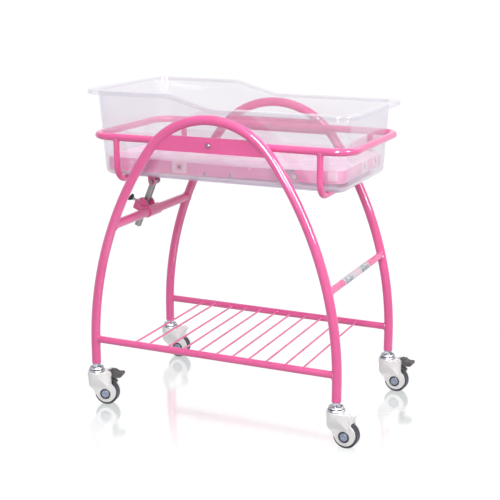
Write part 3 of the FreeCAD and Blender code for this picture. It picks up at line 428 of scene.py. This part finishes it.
PINK = pink_paint()
WELD = weld_paint()
ZINC = zinc()
BOLT = dull_steel("dull_zinc_bolt", rgb(0.13, 0.12, 0.13), rgb(0.30, 0.29, 0.30))
SCREW = dull_steel("grey_screw_steel", rgb(0.22, 0.29, 0.32), rgb(0.36, 0.44, 0.47))
STRUT = steel_strut()
SHELL = caster_shell()
HUB = moulded("pale_hub_plastic", rgb(0.66, 0.65, 0.66), rgb(0.74, 0.73, 0.74), 0.35, 0.5)
TYRE = tyre_rubber()
CAP = moulded("dark_cap_ring", rgb(0.008, 0.010, 0.020), rgb(0.018, 0.022, 0.036), 0.35, 0.5, 900.0, 0.1)
AXLE = moulded("blue_grey_axle_cap", rgb(0.20, 0.24, 0.33), rgb(0.30, 0.34, 0.43), 0.30, 0.42, 600.0, 0.12)
PEDAL = moulded("grey_pedal_plastic", rgb(0.034, 0.030, 0.034), rgb(0.075, 0.066, 0.073), 0.42, 0.60, 500.0, 0.35)
KNOB = moulded("black_knob_plastic", rgb(0.002, 0.002, 0.002), rgb(0.006, 0.006, 0.007), 0.35, 0.55, 600.0, 0.3)
# painted shade: the pivot bushes are a darker copy of the pink paint, standing in for the shade in the recess round
# each pivot bolt
PINK_BUSH_PAINTED_SHADE = moulded("pink_bush_painted_shade", rgb(0.36, 0.045, 0.15), rgb(0.44, 0.06, 0.19), 0.35, 0.5)
INSERT = moulded("grey_leg_insert", rgb(0.30, 0.33, 0.36), rgb(0.40, 0.43, 0.46), 0.35, 0.5)
LABEL = label_print()
CLEAR = clear_plastic()
COVER = mattress_cover()


def dress(node, material):
    o = NODES[node]
    o.data.materials.clear()
    o.data.materials.append(material)


for n in ("front_arch", "rear_arch", "front_pivot_plate", "rear_pivot_plate", "head_cross_tube", "foot_cross_tube",
          "shelf_front_rail", "shelf_rear_rail", "shelf_rods", "ring_tube", "head_hanger", "foot_hanger", "pivot_bosses",
          "strut_bracket", "strut_clamp"):
    dress(n, PINK)
dress("pivot_bolts", BOLT)
dress("strut_pin", BOLT)
dress("clamp_screw", SCREW)
dress("blank_label", LABEL)
dress("pivot_bushes", PINK_BUSH_PAINTED_SHADE)
dress("leg_inserts", INSERT)
dress("tilt_strut", STRUT)
dress("clamp_knob", KNOB)
dress("strut_pin_nut", KNOB)
CORNERS = ("front_left", "front_right", "rear_right", "rear_left")
for w in CORNERS:
    dress("caster_stem_" + w, ZINC)
    dress("caster_race_" + w, ZINC)
    dress("caster_fork_" + w, SHELL)
    dress("wheel_hub_" + w, HUB)
    dress("wheel_tyre_" + w, TYRE)
    dress("wheel_axle_" + w, AXLE)
    dress("axle_caps_" + w, CAP)
for w in ("front_left", "rear_right"):
    dress("brake_pedal_" + w, PEDAL)
    dress("pedal_pin_" + w, ZINC)


# ---------------------------------------------------------------------------
# mesh helpers
# ---------------------------------------------------------------------------
def new_mesh(name, verts, faces, material, smooth=True):
    me = bpy.data.meshes.new(name)
    me.from_pydata([tuple(v) for v in verts], [], faces)
    me.validate()
    me.update()
    if smooth:
        me.polygons.foreach_set("use_smooth", [True] * len(me.polygons))
    o = bpy.data.objects.new(name, me)
    scene.collection.objects.link(o)
    me.materials.append(material)
    return o


def sweep(points, radius, closed, seg=10, ripple=0.0, seed=0.0):
    """A round bead along points (a list of Vectors, metres); radius may be a number or a list."""
    n = len(points)
    verts, faces = [], []
    prev = None
    for i, p in enumerate(points):
        a = points[(i - 1) % n] if closed or i > 0 else points[i]
        b = points[(i + 1) % n] if closed or i < n - 1 else points[i]
        t = (b - a).normalized()
        if prev is None:
            ref = Vector((0, 0, 1)) if abs(t.z) < 0.9 else Vector((1, 0, 0))
            u = (ref - t * ref.dot(t)).normalized()
        else:
            u = (prev - t * prev.dot(t)).normalized()
        prev = u
        v = t.cross(u)
        r = radius[i] if isinstance(radius, (list, tuple)) else radius
        if ripple:
            r *= 1.0 + ripple * math.sin(i * 1.9 + seed) + 0.5 * ripple * noise.noise(Vector((i * 0.37, seed, 0.0)))
        for j in range(seg):
            c = 2 * math.pi * j / seg
            verts.append(p + (u * math.cos(c) + v * math.sin(c)) * r)
    m = n if closed else n - 1
    for i in range(m):
        for j in range(seg):
            a, b = i * seg + j, i * seg + (j + 1) % seg
            c, d = ((i + 1) % n) * seg + (j + 1) % seg, ((i + 1) % n) * seg + j
            faces.append((a, b, c, d))
    if not closed:
        faces.append(tuple(range(seg))[::-1])
        faces.append(tuple((n - 1) * seg + j for j in range(seg)))
    return verts, faces


def join_beads(name, beads, material, body):
    verts, faces = [], []
    for v, f in beads:
        k = len(verts)
        verts += v
        faces += [tuple(i + k for i in q) for q in f]
    o = new_mesh(name, verts, faces, material)
    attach(o, body)
    return o


# ---------------------------------------------------------------------------
# weld beads where the tubes meet
# ---------------------------------------------------------------------------
LEG_X, ARCH_Y, SIDE_R, STRAIGHT_Z, TOP_R = 350.0, 214.0, 940.0, 164.0, 212.0
ARCH_T = math.acos((SIDE_R - LEG_X) / (SIDE_R - TOP_R))
CROWN_Z = STRAIGHT_Z + (SIDE_R - TOP_R) * math.sin(ARCH_T)
R_ARCH = 12.5


def arch_half(z):
    if z <= STRAIGHT_Z:
        return LEG_X
    return LEG_X - SIDE_R + math.sqrt(SIDE_R ** 2 - (z - STRAIGHT_Z) ** 2)


def arch_off(x, z):
    """Signed distance in the arch's plane from its centre line, positive outward."""
    x = abs(x)
    if z <= STRAIGHT_Z:
        return x - LEG_X
    return math.hypot(x - (LEG_X - SIDE_R), z - STRAIGHT_Z) - SIDE_R


def cross_bead(cx, cz, r, side, k, bead=2.3):
    """Weld round the end of a tube along Y that meets an arch."""
    pts = []
    for i in range(k):
        a = 2 * math.pi * i / k
        x, z = cx + (r + 0.3) * math.cos(a), cz + (r + 0.3) * math.sin(a)
        d = min(abs(arch_off(x, z)), R_ARCH * 0.985)
        y = side * (ARCH_Y - math.sqrt(R_ARCH ** 2 - d * d) - 0.4)
        pts.append(M(x, y, z))
    return sweep(pts, bead / 1000.0, True, 8, 0.10, cx + side)


def rail_bead(side_x, side_y, zc, r, k, bead=1.9):
    """Weld round the end of a rail along X that meets a leg."""
    pts = []
    for i in range(k):
        a = 2 * math.pi * i / k
        dy, z = (r + 0.2) * math.cos(a), zc + (r + 0.2) * math.sin(a)
        w = math.sqrt(R_ARCH ** 2 - dy * dy) + 0.3
        pts.append(M(side_x * (arch_half(z) - w), side_y * ARCH_Y + dy, z))
    return sweep(pts, bead / 1000.0, True, 8, 0.10, side_x * 3 + side_y)


RAIL_Z, RAIL_R = 184.5, 9.5
frame_beads = []
for cx, cz, cr in ((-arch_half(508.5), 508.5, 12.5), (arch_half(393.0), 393.0, 9.5)):
    for s in (-1, 1):
        frame_beads.append(cross_bead(cx, cz, cr, s, 64))
for sx in (-1, 1):
    for sy in (-1, 1):
        frame_beads.append(rail_bead(sx, sy, RAIL_Z, RAIL_R, 48))
ROD_X = [-232.0, -192.0, -134.0, -88.0, -42.0, 9.0, 55.0, 102.0, 150.0, 204.0, 254.0]
for x in ROD_X:
    for s in (-1, 1):
        pts = []
        for i in range(20):
            a = 2 * math.pi * i / 20
            dx, z = 2.7 * math.cos(a), 186.5 + 2.7 * math.sin(a)
            d = z - RAIL_Z
            y = s * (ARCH_Y - math.sqrt(RAIL_R ** 2 - d * d) - 0.1)
            pts.append(M(x + dx, y, z))
        frame_beads.append(sweep(pts, 0.0010, True, 6, 0.12, x + s))
# seams of the flat plates along the inside of the arches
for s in (-1, 1):
    for f in (-1, 1):
        for sx in (-1, 1):
            pts = []
            for i in range(24):
                z = 720.5 + 37.0 * i / 23
                w = math.sqrt(R_ARCH ** 2 - 3.0 ** 2) + 0.2
                lo, hi = 0.0, 400.0
                for _ in range(40):        # find x where the offset inward is w
                    mid = (lo + hi) / 2
                    if z - CROWN_Z > 0 and math.atan2(z - CROWN_Z, mid) > ARCH_T:
                        off = math.hypot(mid, z - CROWN_Z) - TOP_R
                    else:
                        off = arch_off(mid, z)
                    if off < -w:
                        lo = mid
                    else:
                        hi = mid
                pts.append(M(sx * lo, s * ARCH_Y + f * 3.0, z))
            frame_beads.append(sweep(pts, 0.0017, False, 8, 0.12, s + 2 * f + sx))
join_beads("frame_weld_beads", frame_beads, WELD, "frame")

cradle_beads = []
for x in (-280.0, 288.0):
    for s in (-1, 1):
        pts = []
        for i in range(48):
            a = 2 * math.pi * i / 48
            dx, dy = 8.2 * math.cos(a), 8.2 * math.sin(a)
            z = 740.0 - math.sqrt(9.5 ** 2 - dy * dy) - 0.2
            pts.append(M(x + dx, s * 191.0 + dy, z))
        cradle_beads.append(sweep(pts, 0.0018, True, 8, 0.10, x + s))
join_beads("cradle_weld_beads", cradle_beads, WELD, "cradle")

# ---------------------------------------------------------------------------
# clear tub
# ---------------------------------------------------------------------------
TUB_CX, Z0, ZH, ZL = 1.5, 633.6, 862.0, 829.0
STEP_A, STEP_B, KNEE = -118.0, 4.0, 70.0
step_a = math.atan2(ZH - ZL, STEP_B - STEP_A)
knee_k = KNEE * math.tan(step_a / 2)


def rim_z(x):
    """Height of the rim's top along the tub."""
    x = np.asarray(x, float)
    p1, p2 = STEP_A - knee_k, STEP_A + knee_k * math.cos(step_a)
    q1, q2 = STEP_B - knee_k * math.cos(step_a), STEP_B + knee_k
    z = np.where(x < p1, ZH, ZL)
    z = np.where((x >= p1) & (x < p2), ZH - (KNEE - np.sqrt(np.maximum(KNEE ** 2 - (x - p1) ** 2, 0))), z)
    z = np.where((x >= p2) & (x <= q1), ZH - (x - STEP_A) * math.tan(step_a), z)
    z = np.where((x > q1) & (x <= q2), ZL + (KNEE - np.sqrt(np.maximum(KNEE ** 2 - (q2 - x) ** 2, 0))), z)
    return z


NL, NS, NC = 76, 26, 18
_kind, _t = [], []
for kind, n in ((0, NL), (1, NC), (2, NS), (3, NC), (4, NL), (5, NC), (6, NS), (7, NC)):
    for i in range(n):
        _kind.append(kind)
        _t.append(i / n)
KIND, TT = np.array(_kind), np.array(_t)
NLOOP = len(KIND)


def loop(hx, hy, r):
    """Rounded rectangle, counter-clockwise from the front side's left end; sizes may vary round it."""
    hx, hy, r = (np.broadcast_to(np.asarray(v, float), (NLOOP,)) for v in (hx, hy, r))
    x, y = np.zeros(NLOOP), np.zeros(NLOOP)
    ax, ay = hx - r, hy - r
    k = KIND
    q = TT * math.pi / 2
    x = np.select([k == 0, k == 1, k == 2, k == 3, k == 4, k == 5, k == 6, k == 7],
                  [-ax + 2 * ax * TT, ax + r * np.sin(q), hx, ax + r * np.cos(q), ax - 2 * ax * TT, -ax - r * np.sin(q), -hx, -ax - r * np.cos(q)])
    y = np.select([k == 0, k == 1, k == 2, k == 3, k == 4, k == 5, k == 6, k == 7],
                  [-hy, -ay - r * np.cos(q), -ay + 2 * ay * TT, ay + r * np.sin(q), hy, ay + r * np.cos(q), ay - 2 * ay * TT, -ay - r * np.sin(q)])
    return x + TUB_CX, y


def body_dims(z, off):
    t = (np.asarray(z, float) - Z0) / (ZH - Z0)
    return 341.5 + 10.5 * t - off, 168.0 + 19.0 * t - off, np.maximum(32.0 + 6.0 * t - off, 3.0)


RIMD = (376.5, 212.0, 56.0)
T = 3.0
rings = []          # each an (N, 3) array in millimetres


def wall_ring(off, w=None, dz=0.0, zlow=0.0):
    """Ring on the wall: at share w of the way from zlow to the rim, or dz from the rim when w is None."""
    x, y = loop(*body_dims(ZL, off))
    for _ in range(4):
        top = rim_z(x)
        z = top + dz if w is None else zlow + (top - 6.0 - zlow) * w
        x, y = loop(*body_dims(z, off))
    rings.append(np.column_stack([x, y, z]))


def rim_ring(f, dz, grow=0.0, off=T):
    """Ring on the flange: share f of the way from the wall to the outer edge, dz from the rim's top."""
    x, y = loop(*body_dims(ZL, off))
    for _ in range(4):
        top = rim_z(x)
        bx, by, br = body_dims(top, off)
        hx, hy, r = bx + (RIMD[0] - bx) * f + grow, by + (RIMD[1] - by) * f + grow, br + (RIMD[2] - br) * f + grow
        x, y = loop(hx, hy, r)
    rings.append(np.column_stack([x, y, rim_z(x) + dz]))


zi = Z0 + T
RI = 17.0
floor_in = body_dims(zi + RI, T)
for d in (150.0, 120.0, 80.0, 40.0, 16.0):
    x, y = loop(floor_in[0] - RI - d, floor_in[1] - RI - d, max(floor_in[2] - RI - d, 1.5))
    rings.append(np.column_stack([x, y, np.full(NLOOP, zi)]))
for i in range(9):
    a = math.pi / 2 * i / 8
    o = RI * (1 - math.sin(a))
    x, y = loop(floor_in[0] - o, floor_in[1] - o, max(floor_in[2] - o, 2.0))
    rings.append(np.column_stack([x, y, np.full(NLOOP, zi + RI * (1 - math.cos(a)))]))
for w in (0.08, 0.2, 0.35, 0.5, 0.65, 0.8, 0.92, 1.0):
    wall_ring(T, w, zlow=zi + RI)
# inner edge of the flange, rounded outward
re = 4.0
for i in range(1, 7):
    a = math.pi / 2 * i / 6
    rim_ring(0.0, -re + re * math.sin(a), grow=re * (1 - math.cos(a)))
for f in (0.30, 0.5, 0.7, 0.84):
    rim_ring(f, 0.0)
# outer edge, rounded down, then the lip
ro = 3.6
for i in range(1, 8):
    a = math.pi / 2 * i / 7
    rim_ring(1.0, -ro + ro * math.cos(a), grow=-ro + ro * math.sin(a))
for dz in (-6.0, -8.5, -10.6):
    rim_ring(1.0, dz)
for i in range(1, 6):
    a = math.pi * i / 6
    rim_ring(1.0, -10.6 - 1.4 * math.sin(a), grow=-1.5 + 1.5 * math.cos(a))
for dz in (-10.4, -8.0, -5.6):
    rim_ring(1.0, dz, grow=-3.0)
for i in range(1, 5):
    a = math.pi / 2 * i / 4
    rim_ring(1.0, -5.6 + 2.4 * math.sin(a), grow=-3.0 - 2.4 * (1 - math.cos(a)))
for f in (0.7, 0.45):
    rim_ring(f, -3.2)
# under the flange into the outer wall
rf = 5.0
for i in range(0, 6):
    a = math.pi / 2 * i / 5
    rim_ring(0.0, -3.2 - rf * (1 - math.cos(a)), grow=rf * (1 - math.sin(a)), off=0.0)
zo = Z0
RO = 20.0
for w in (0.96, 0.88, 0.75, 0.6, 0.45, 0.3, 0.15, 0.06):
    x, y = loop(*body_dims(ZL, 0.0))
    for _ in range(4):
        top = rim_z(x) - 12.0
        z = (zo + RO) + (top - zo - RO) * w
        x, y = loop(*body_dims(z, 0.0))
    rings.append(np.column_stack([x, y, z]))
floor_out = body_dims(zo + RO, 0.0)
for i in range(9):
    a = math.pi / 2 * (1 - i / 8)
    o = RO * (1 - math.sin(a))
    x, y = loop(floor_out[0] - o, floor_out[1] - o, max(floor_out[2] - o, 2.0))
    rings.append(np.column_stack([x, y, np.full(NLOOP, zo + RO * (1 - math.cos(a)))]))
for d in (16.0, 40.0, 80.0, 120.0, 147.0):
    x, y = loop(floor_out[0] - RO - d, floor_out[1] - RO - d, max(floor_out[2] - RO - d, 1.5))
    rings.append(np.column_stack([x, y, np.full(NLOOP, zo)]))

tub_v = np.concatenate(rings)
tub_f = []
for i in range(len(rings) - 1):
    for j in range(NLOOP):
        a, b = i * NLOOP + j, i * NLOOP + (j + 1) % NLOOP
        tub_f.append((a, b, b + NLOOP, a + NLOOP))
tub_f.append(tuple(range(NLOOP))[::-1])
last = (len(rings) - 1) * NLOOP
tub_f.append(tuple(last + j for j in range(NLOOP)))
tub = new_mesh("clear_tub_shell", [M(*v) for v in tub_v], tub_f, CLEAR)
bm = bmesh.new()
bm.from_mesh(tub.data)
bmesh.ops.recalc_face_normals(bm, faces=bm.faces)
bm.to_mesh(tub.data)
bm.free()
tub.data.polygons.foreach_set("use_smooth", [True] * len(tub.data.polygons))
tub.visible_shadow = False
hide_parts("clear_tub")
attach(tub, "tub")


# ---------------------------------------------------------------------------
# mattress: a soft foam pad in a printed cover, its foot end riding up on the
# tub's rounded bottom edge
# ---------------------------------------------------------------------------
PAD_X, PAD_Y, PAD_R = 336.5, 160.0, 23.0
TOPS = ((-335.0, 684.6), (-193.0, 685.2), (-60.0, 683.9), (60.0, 683.9), (224.0, 687.8), (338.0, 691.8))


def smooth_curve(points, x):
    """Smooth interpolation through a few heights."""
    px = np.array([q[0] for q in points])
    pz = np.array([q[1] for q in points])
    m = np.gradient(pz, px)
    i = np.clip(np.searchsorted(px, x) - 1, 0, len(px) - 2)
    h = px[i + 1] - px[i]
    t = np.clip((x - px[i]) / h, 0.0, 1.0)
    return ((1 + 2 * t) * (1 - t) ** 2 * pz[i] + t * (1 - t) ** 2 * h * m[i]
            + t * t * (3 - 2 * t) * pz[i + 1] + t * t * (t - 1) * h * m[i + 1])


def pad_top(x):
    return smooth_curve(TOPS, np.asarray(x, float))


def pad_edge(x):
    """Height of the lower edge."""
    return 641.2 + 0.0212 * (np.asarray(x, float) + 335.0)


def pad_floor(x):
    return 638.2 + 0.01396 * (np.asarray(x, float) + 335.0)


def pad_rings():
    out = []

    def ring(inset, zf, grow=0.0):
        x, y = loop(PAD_X - inset + grow, PAD_Y - inset + grow, max(PAD_R - inset + grow, 1.5))
        out.append(np.column_stack([x, y, zf(x)]))

    for d in (147.0, 125.0, 100.0, 75.0, 55.0, 45.0, 36.0, 28.0, 20.0, 12.0, 6.0):
        q = min(1.0, max(0.0, (d - 2.0) / 52.0))
        q = q * q * (3 - 2 * q)
        ring(d, lambda x, q=q: pad_edge(x) - (pad_edge(x) - pad_floor(x)) * q)
    rb = 3.0
    for i in range(5):
        a = math.pi / 2 * i / 4
        ring(rb * (1 - math.sin(a)), lambda x, a=a: pad_edge(x) + rb * (1 - math.cos(a)))
    rt = 6.5
    for w in (0.15, 0.3, 0.45, 0.6, 0.75, 0.9, 1.0):
        ring(0.0, lambda x, w=w: pad_edge(x) + rb + (pad_top(x) - rt - pad_edge(x) - rb) * w, grow=1.6 * math.sin(math.pi * w))
    for i in range(1, 6):
        a = math.pi / 2 * i / 5
        ring(rt * (1 - math.cos(a)), lambda x, a=a: pad_top(x) - rt + rt * math.sin(a))
    for d in (6.0, 14.0, 26.0, 40.0, 58.0, 80.0, 104.0, 126.0, 147.0):
        ring(rt + d - 2.0, lambda x, d=d: pad_top(x) + 3.0 * (1 - math.exp(-d / 40.0)))
    return out


def rings_to_mesh(name, rs, material):
    v = np.concatenate(rs)
    f = []
    for i in range(len(rs) - 1):
        for j in range(NLOOP):
            a, b = i * NLOOP + j, i * NLOOP + (j + 1) % NLOOP
            f.append((a, b, b + NLOOP, a + NLOOP))
    f.append(tuple(range(NLOOP))[::-1])
    k = (len(rs) - 1) * NLOOP
    f.append(tuple(k + j for j in range(NLOOP)))
    o = new_mesh(name, [M(*p) for p in v], f, material)
    b = bmesh.new()
    b.from_mesh(o.data)
    bmesh.ops.triangulate(b, faces=[q for q in b.faces if len(q.verts) > 4])
    bmesh.ops.recalc_face_normals(b, faces=b.faces)
    b.to_mesh(o.data)
    b.free()
    return o


pad = rings_to_mesh("mattress_pad", pad_rings(), COVER)


def apply_modifiers(o):
    dg = bpy.context.evaluated_depsgraph_get()
    me = bpy.data.meshes.new_from_object(o.evaluated_get(dg))
    o.modifiers.clear()
    old = o.data
    o.data = me
    bpy.data.meshes.remove(old)


def puff(o, voxel, pressure, cap, frames=20):
    """Fill the cover with a light pressure, with no point moving more than cap."""
    r = o.modifiers.new("remesh", "REMESH")
    r.mode = "VOXEL"
    r.voxel_size = voxel
    apply_modifiers(o)
    start = np.empty(len(o.data.vertices) * 3)
    o.data.vertices.foreach_get("co", start)
    start = start.reshape(-1, 3)
    c = o.modifiers.new("cloth", "CLOTH")
    c.settings.quality = 5
    c.settings.mass = 0.2
    c.settings.tension_stiffness = 12.0
    c.settings.compression_stiffness = 12.0
    c.settings.shear_stiffness = 8.0
    c.settings.bending_stiffness = 3.0
    c.settings.use_pressure = True
    c.settings.uniform_pressure_force = pressure
    c.settings.effector_weights.gravity = 0.0
    c.collision_settings.use_collision = False
    c.point_cache.frame_start, c.point_cache.frame_end = 1, frames
    for f in range(1, frames + 1):
        scene.frame_set(f)
    dg = bpy.context.evaluated_depsgraph_get()
    ev = o.evaluated_get(dg).to_mesh()
    now = np.empty(len(ev.vertices) * 3)
    ev.vertices.foreach_get("co", now)
    o.evaluated_get(dg).to_mesh_clear()
    o.modifiers.clear()
    now = now.reshape(-1, 3)
    move = now - start
    d = np.linalg.norm(move, axis=1)
    scale = np.where(d > 1e-9, cap * np.tanh(d / cap) / np.maximum(d, 1e-9), 1.0)
    o.data.vertices.foreach_set("co", (start + move * scale[:, None]).ravel())
    o.data.update()
    scene.frame_set(1)


puff(pad, 0.005, 4.0, 0.0035)
# slight unevenness of a used foam pad
me = pad.data
co = np.empty(len(me.vertices) * 3)
me.vertices.foreach_get("co", co)
co = co.reshape(-1, 3)
nr = np.empty(len(me.vertices) * 3)
me.vertices.foreach_get("normal", nr)
nr = nr.reshape(-1, 3)
push = np.array([noise.noise(Vector((c[0] * 9.0, c[1] * 14.0, c[2] * 22.0))) for c in co])
fine = np.array([noise.noise(Vector((c[0] * 34.0 + 7.0, c[1] * 30.0, c[2] * 46.0))) for c in co])
co = co + nr * (0.0011 * push + 0.00035 * fine)[:, None]
me.vertices.foreach_set("co", co.ravel())
me.update()
me.polygons.foreach_set("use_smooth", [True] * len(me.polygons))
sub = pad.modifiers.new("smooth", "SUBSURF")
sub.levels = sub.render_levels = 1
apply_modifiers(pad)
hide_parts("mattress")
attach(pad, "mattress")

# sewn seams round the top and bottom edges of the cover
tree = BVHTree.FromObject(pad, bpy.context.evaluated_depsgraph_get())


def seam(name, zf, inset, radius, proud):
    x, y = loop(PAD_X - inset, PAD_Y - inset, PAD_R - inset)
    z = zf(x)
    pts, step = [], []
    for i in range(NLOOP):
        for k in range(2):
            j = (i + 1) % NLOOP
            t = k / 2.0
            step.append((x[i] * (1 - t) + x[j] * t, y[i] * (1 - t) + y[j] * t, z[i] * (1 - t) + z[j] * t))
    for q in step:
        hit = tree.find_nearest(M(*q))
        pts.append(hit[0] + hit[1] * proud)
    for _ in range(2):
        pts = [(pts[i - 1] + pts[i] * 2 + pts[(i + 1) % len(pts)]) / 4 for i in range(len(pts))]
    v, f = sweep(pts, radius, True, 8)
    o = new_mesh(name, v, f, COVER)
    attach(o, "mattress")
    return o


seam("mattress_top_seam", lambda x: pad_top(x) - 2.2, 1.6, 0.0011, 0.0003)
seam("mattress_lower_seam", lambda x: pad_edge(x) + 1.2, 1.0, 0.0011, 0.0002)

# ---------------------------------------------------------------------------
# floor, backdrop, lights
# ---------------------------------------------------------------------------
def emitter(name, color, strength):
    k = Mat(name)
    e = k.node("ShaderNodeEmission")
    e.inputs["Color"].default_value = color
    e.inputs["Strength"].default_value = strength
    return k.done(e.outputs[0])


fl = Mat("studio_floor")
glow = fl.node("ShaderNodeEmission")
glow.inputs["Color"].default_value = rgb(0.94, 1.0, 0.985)
glow.inputs["Strength"].default_value = 0.88
matt = fl.node("ShaderNodeBsdfDiffuse")
matt.inputs["Color"].default_value = rgb(0.22, 0.22, 0.22)
shine = fl.node("ShaderNodeBsdfGlossy")
shine.inputs["Color"].default_value = rgb(1.0, 0.93, 0.95)
shine.inputs["Roughness"].default_value = 0.12
both = fl.node("ShaderNodeAddShader")
fl.link(glow.outputs[0], both.inputs[0])
fl.link(matt.outputs[0], both.inputs[1])
top = fl.node("ShaderNodeMixShader")
fx, fy, _ = fl.axes()
ahead = fl.math("SUBTRACT", fl.math("MULTIPLY", fx, math.sin(AZ)), fl.math("MULTIPLY", fy, math.cos(AZ)))
fl.link(fl.remap(ahead, 0.12, 0.50, 0.42, 0.03), top.inputs[0])
fl.link(fl.mix(fl.remap(ahead, 0.12, 0.50, 0.0, 1.0), rgb(0.94, 1.0, 0.985), rgb(1.0, 1.0, 1.0)), glow.inputs["Color"])
away = fl.math("SQRT", fl.math("ADD", fl.math("MULTIPLY", fx, fx), fl.math("MULTIPLY", fy, fy)))
fl.link(fl.remap(away, 1.2, 3.5, 0.88, 0.97), glow.inputs["Strength"])
fl.link(both.outputs[0], top.inputs[1])
fl.link(shine.outputs[0], top.inputs[2])
fl.done(top.outputs[0])
floor = new_mesh("studio_floor", [(-14, -14, 0), (14, -14, 0), (14, 14, 0), (-14, 14, 0)], [(0, 1, 2, 3)], fl.m, False)
floor.visible_diffuse = False

bpy.ops.mesh.primitive_uv_sphere_add(segments=48, ring_count=24, radius=13.0)
dome = bpy.context.object
dome.name = "studio_backdrop"
dome.data.materials.append(emitter("studio_backdrop", rgb(1.0, 1.0, 1.0), 1.03))
dome.visible_diffuse = False
dome.visible_glossy = True
dome.visible_transmission = True
dome.visible_shadow = False
dome.visible_volume_scatter = False

world = bpy.data.worlds.new("studio")
scene.world = world
world.use_nodes = True
bg = world.node_tree.nodes["Background"]
bg.inputs["Color"].default_value = (0.96, 0.97, 1.0, 1.0)
bg.inputs["Strength"].default_value = 0.50


def area(name, azimuth, elevation, distance, sx, sy, power, color=(1, 1, 1), target=(0.0, 0.0, 0.45)):
    d = bpy.data.lights.new(name, "AREA")
    d.shape = "RECTANGLE"
    d.size, d.size_y = sx, sy
    d.energy = power
    d.color = color
    o = bpy.data.objects.new(name, d)
    scene.collection.objects.link(o)
    a, e = math.radians(azimuth), math.radians(elevation)
    v = Vector((math.sin(a) * math.cos(e), -math.cos(a) * math.cos(e), math.sin(e)))
    o.location = Vector(target) + v * distance
    o.rotation_mode = "QUATERNION"
    o.rotation_quaternion = (-v).to_track_quat("-Z", "Y")
    return o


def strip(name, foot, head, width, radiance, glint=False):
    """A long narrow softbox between two points, turned to the object. A glint only shows in gloss."""
    foot, head = Vector(foot), Vector(head)
    d = bpy.data.lights.new(name, "AREA")
    d.shape = "RECTANGLE"
    d.size, d.size_y = width, (head - foot).length
    d.energy = radiance * math.pi * width * d.size_y
    o = bpy.data.objects.new(name, d)
    scene.collection.objects.link(o)
    mid = (foot + head) / 2
    ay = (head - foot).normalized()
    az = mid - Vector((0.0, 0.0, 0.7))
    az = (az - ay * az.dot(ay)).normalized()
    ax = ay.cross(az)
    o.matrix_world = Matrix(((ax.x, ay.x, az.x, mid.x), (ax.y, ay.y, az.y, mid.y), (ax.z, ay.z, az.z, mid.z), (0, 0, 0, 1)))
    if glint:
        o.visible_diffuse = False
    return o


strip("strip_front", (0.99, -3.06, 1.25), (0.85, -1.90, 3.16), 0.70, 9.0)
strip("glint_front", (0.98, -3.03, 1.25), (0.84, -1.88, 3.14), 0.34, 95.0, True)
strip("strip_right", (3.02, -1.10, 1.35), (2.39, -0.87, 2.69), 0.90, 10.0)
strip("glint_right", (3.00, -1.09, 1.35), (2.37, -0.86, 2.67), 0.36, 85.0, True)
area("top_soft", 10, 80, 3.4, 2.6, 2.6, 28)
area("back_soft", 150, 40, 3.6, 2.4, 1.6, 26)
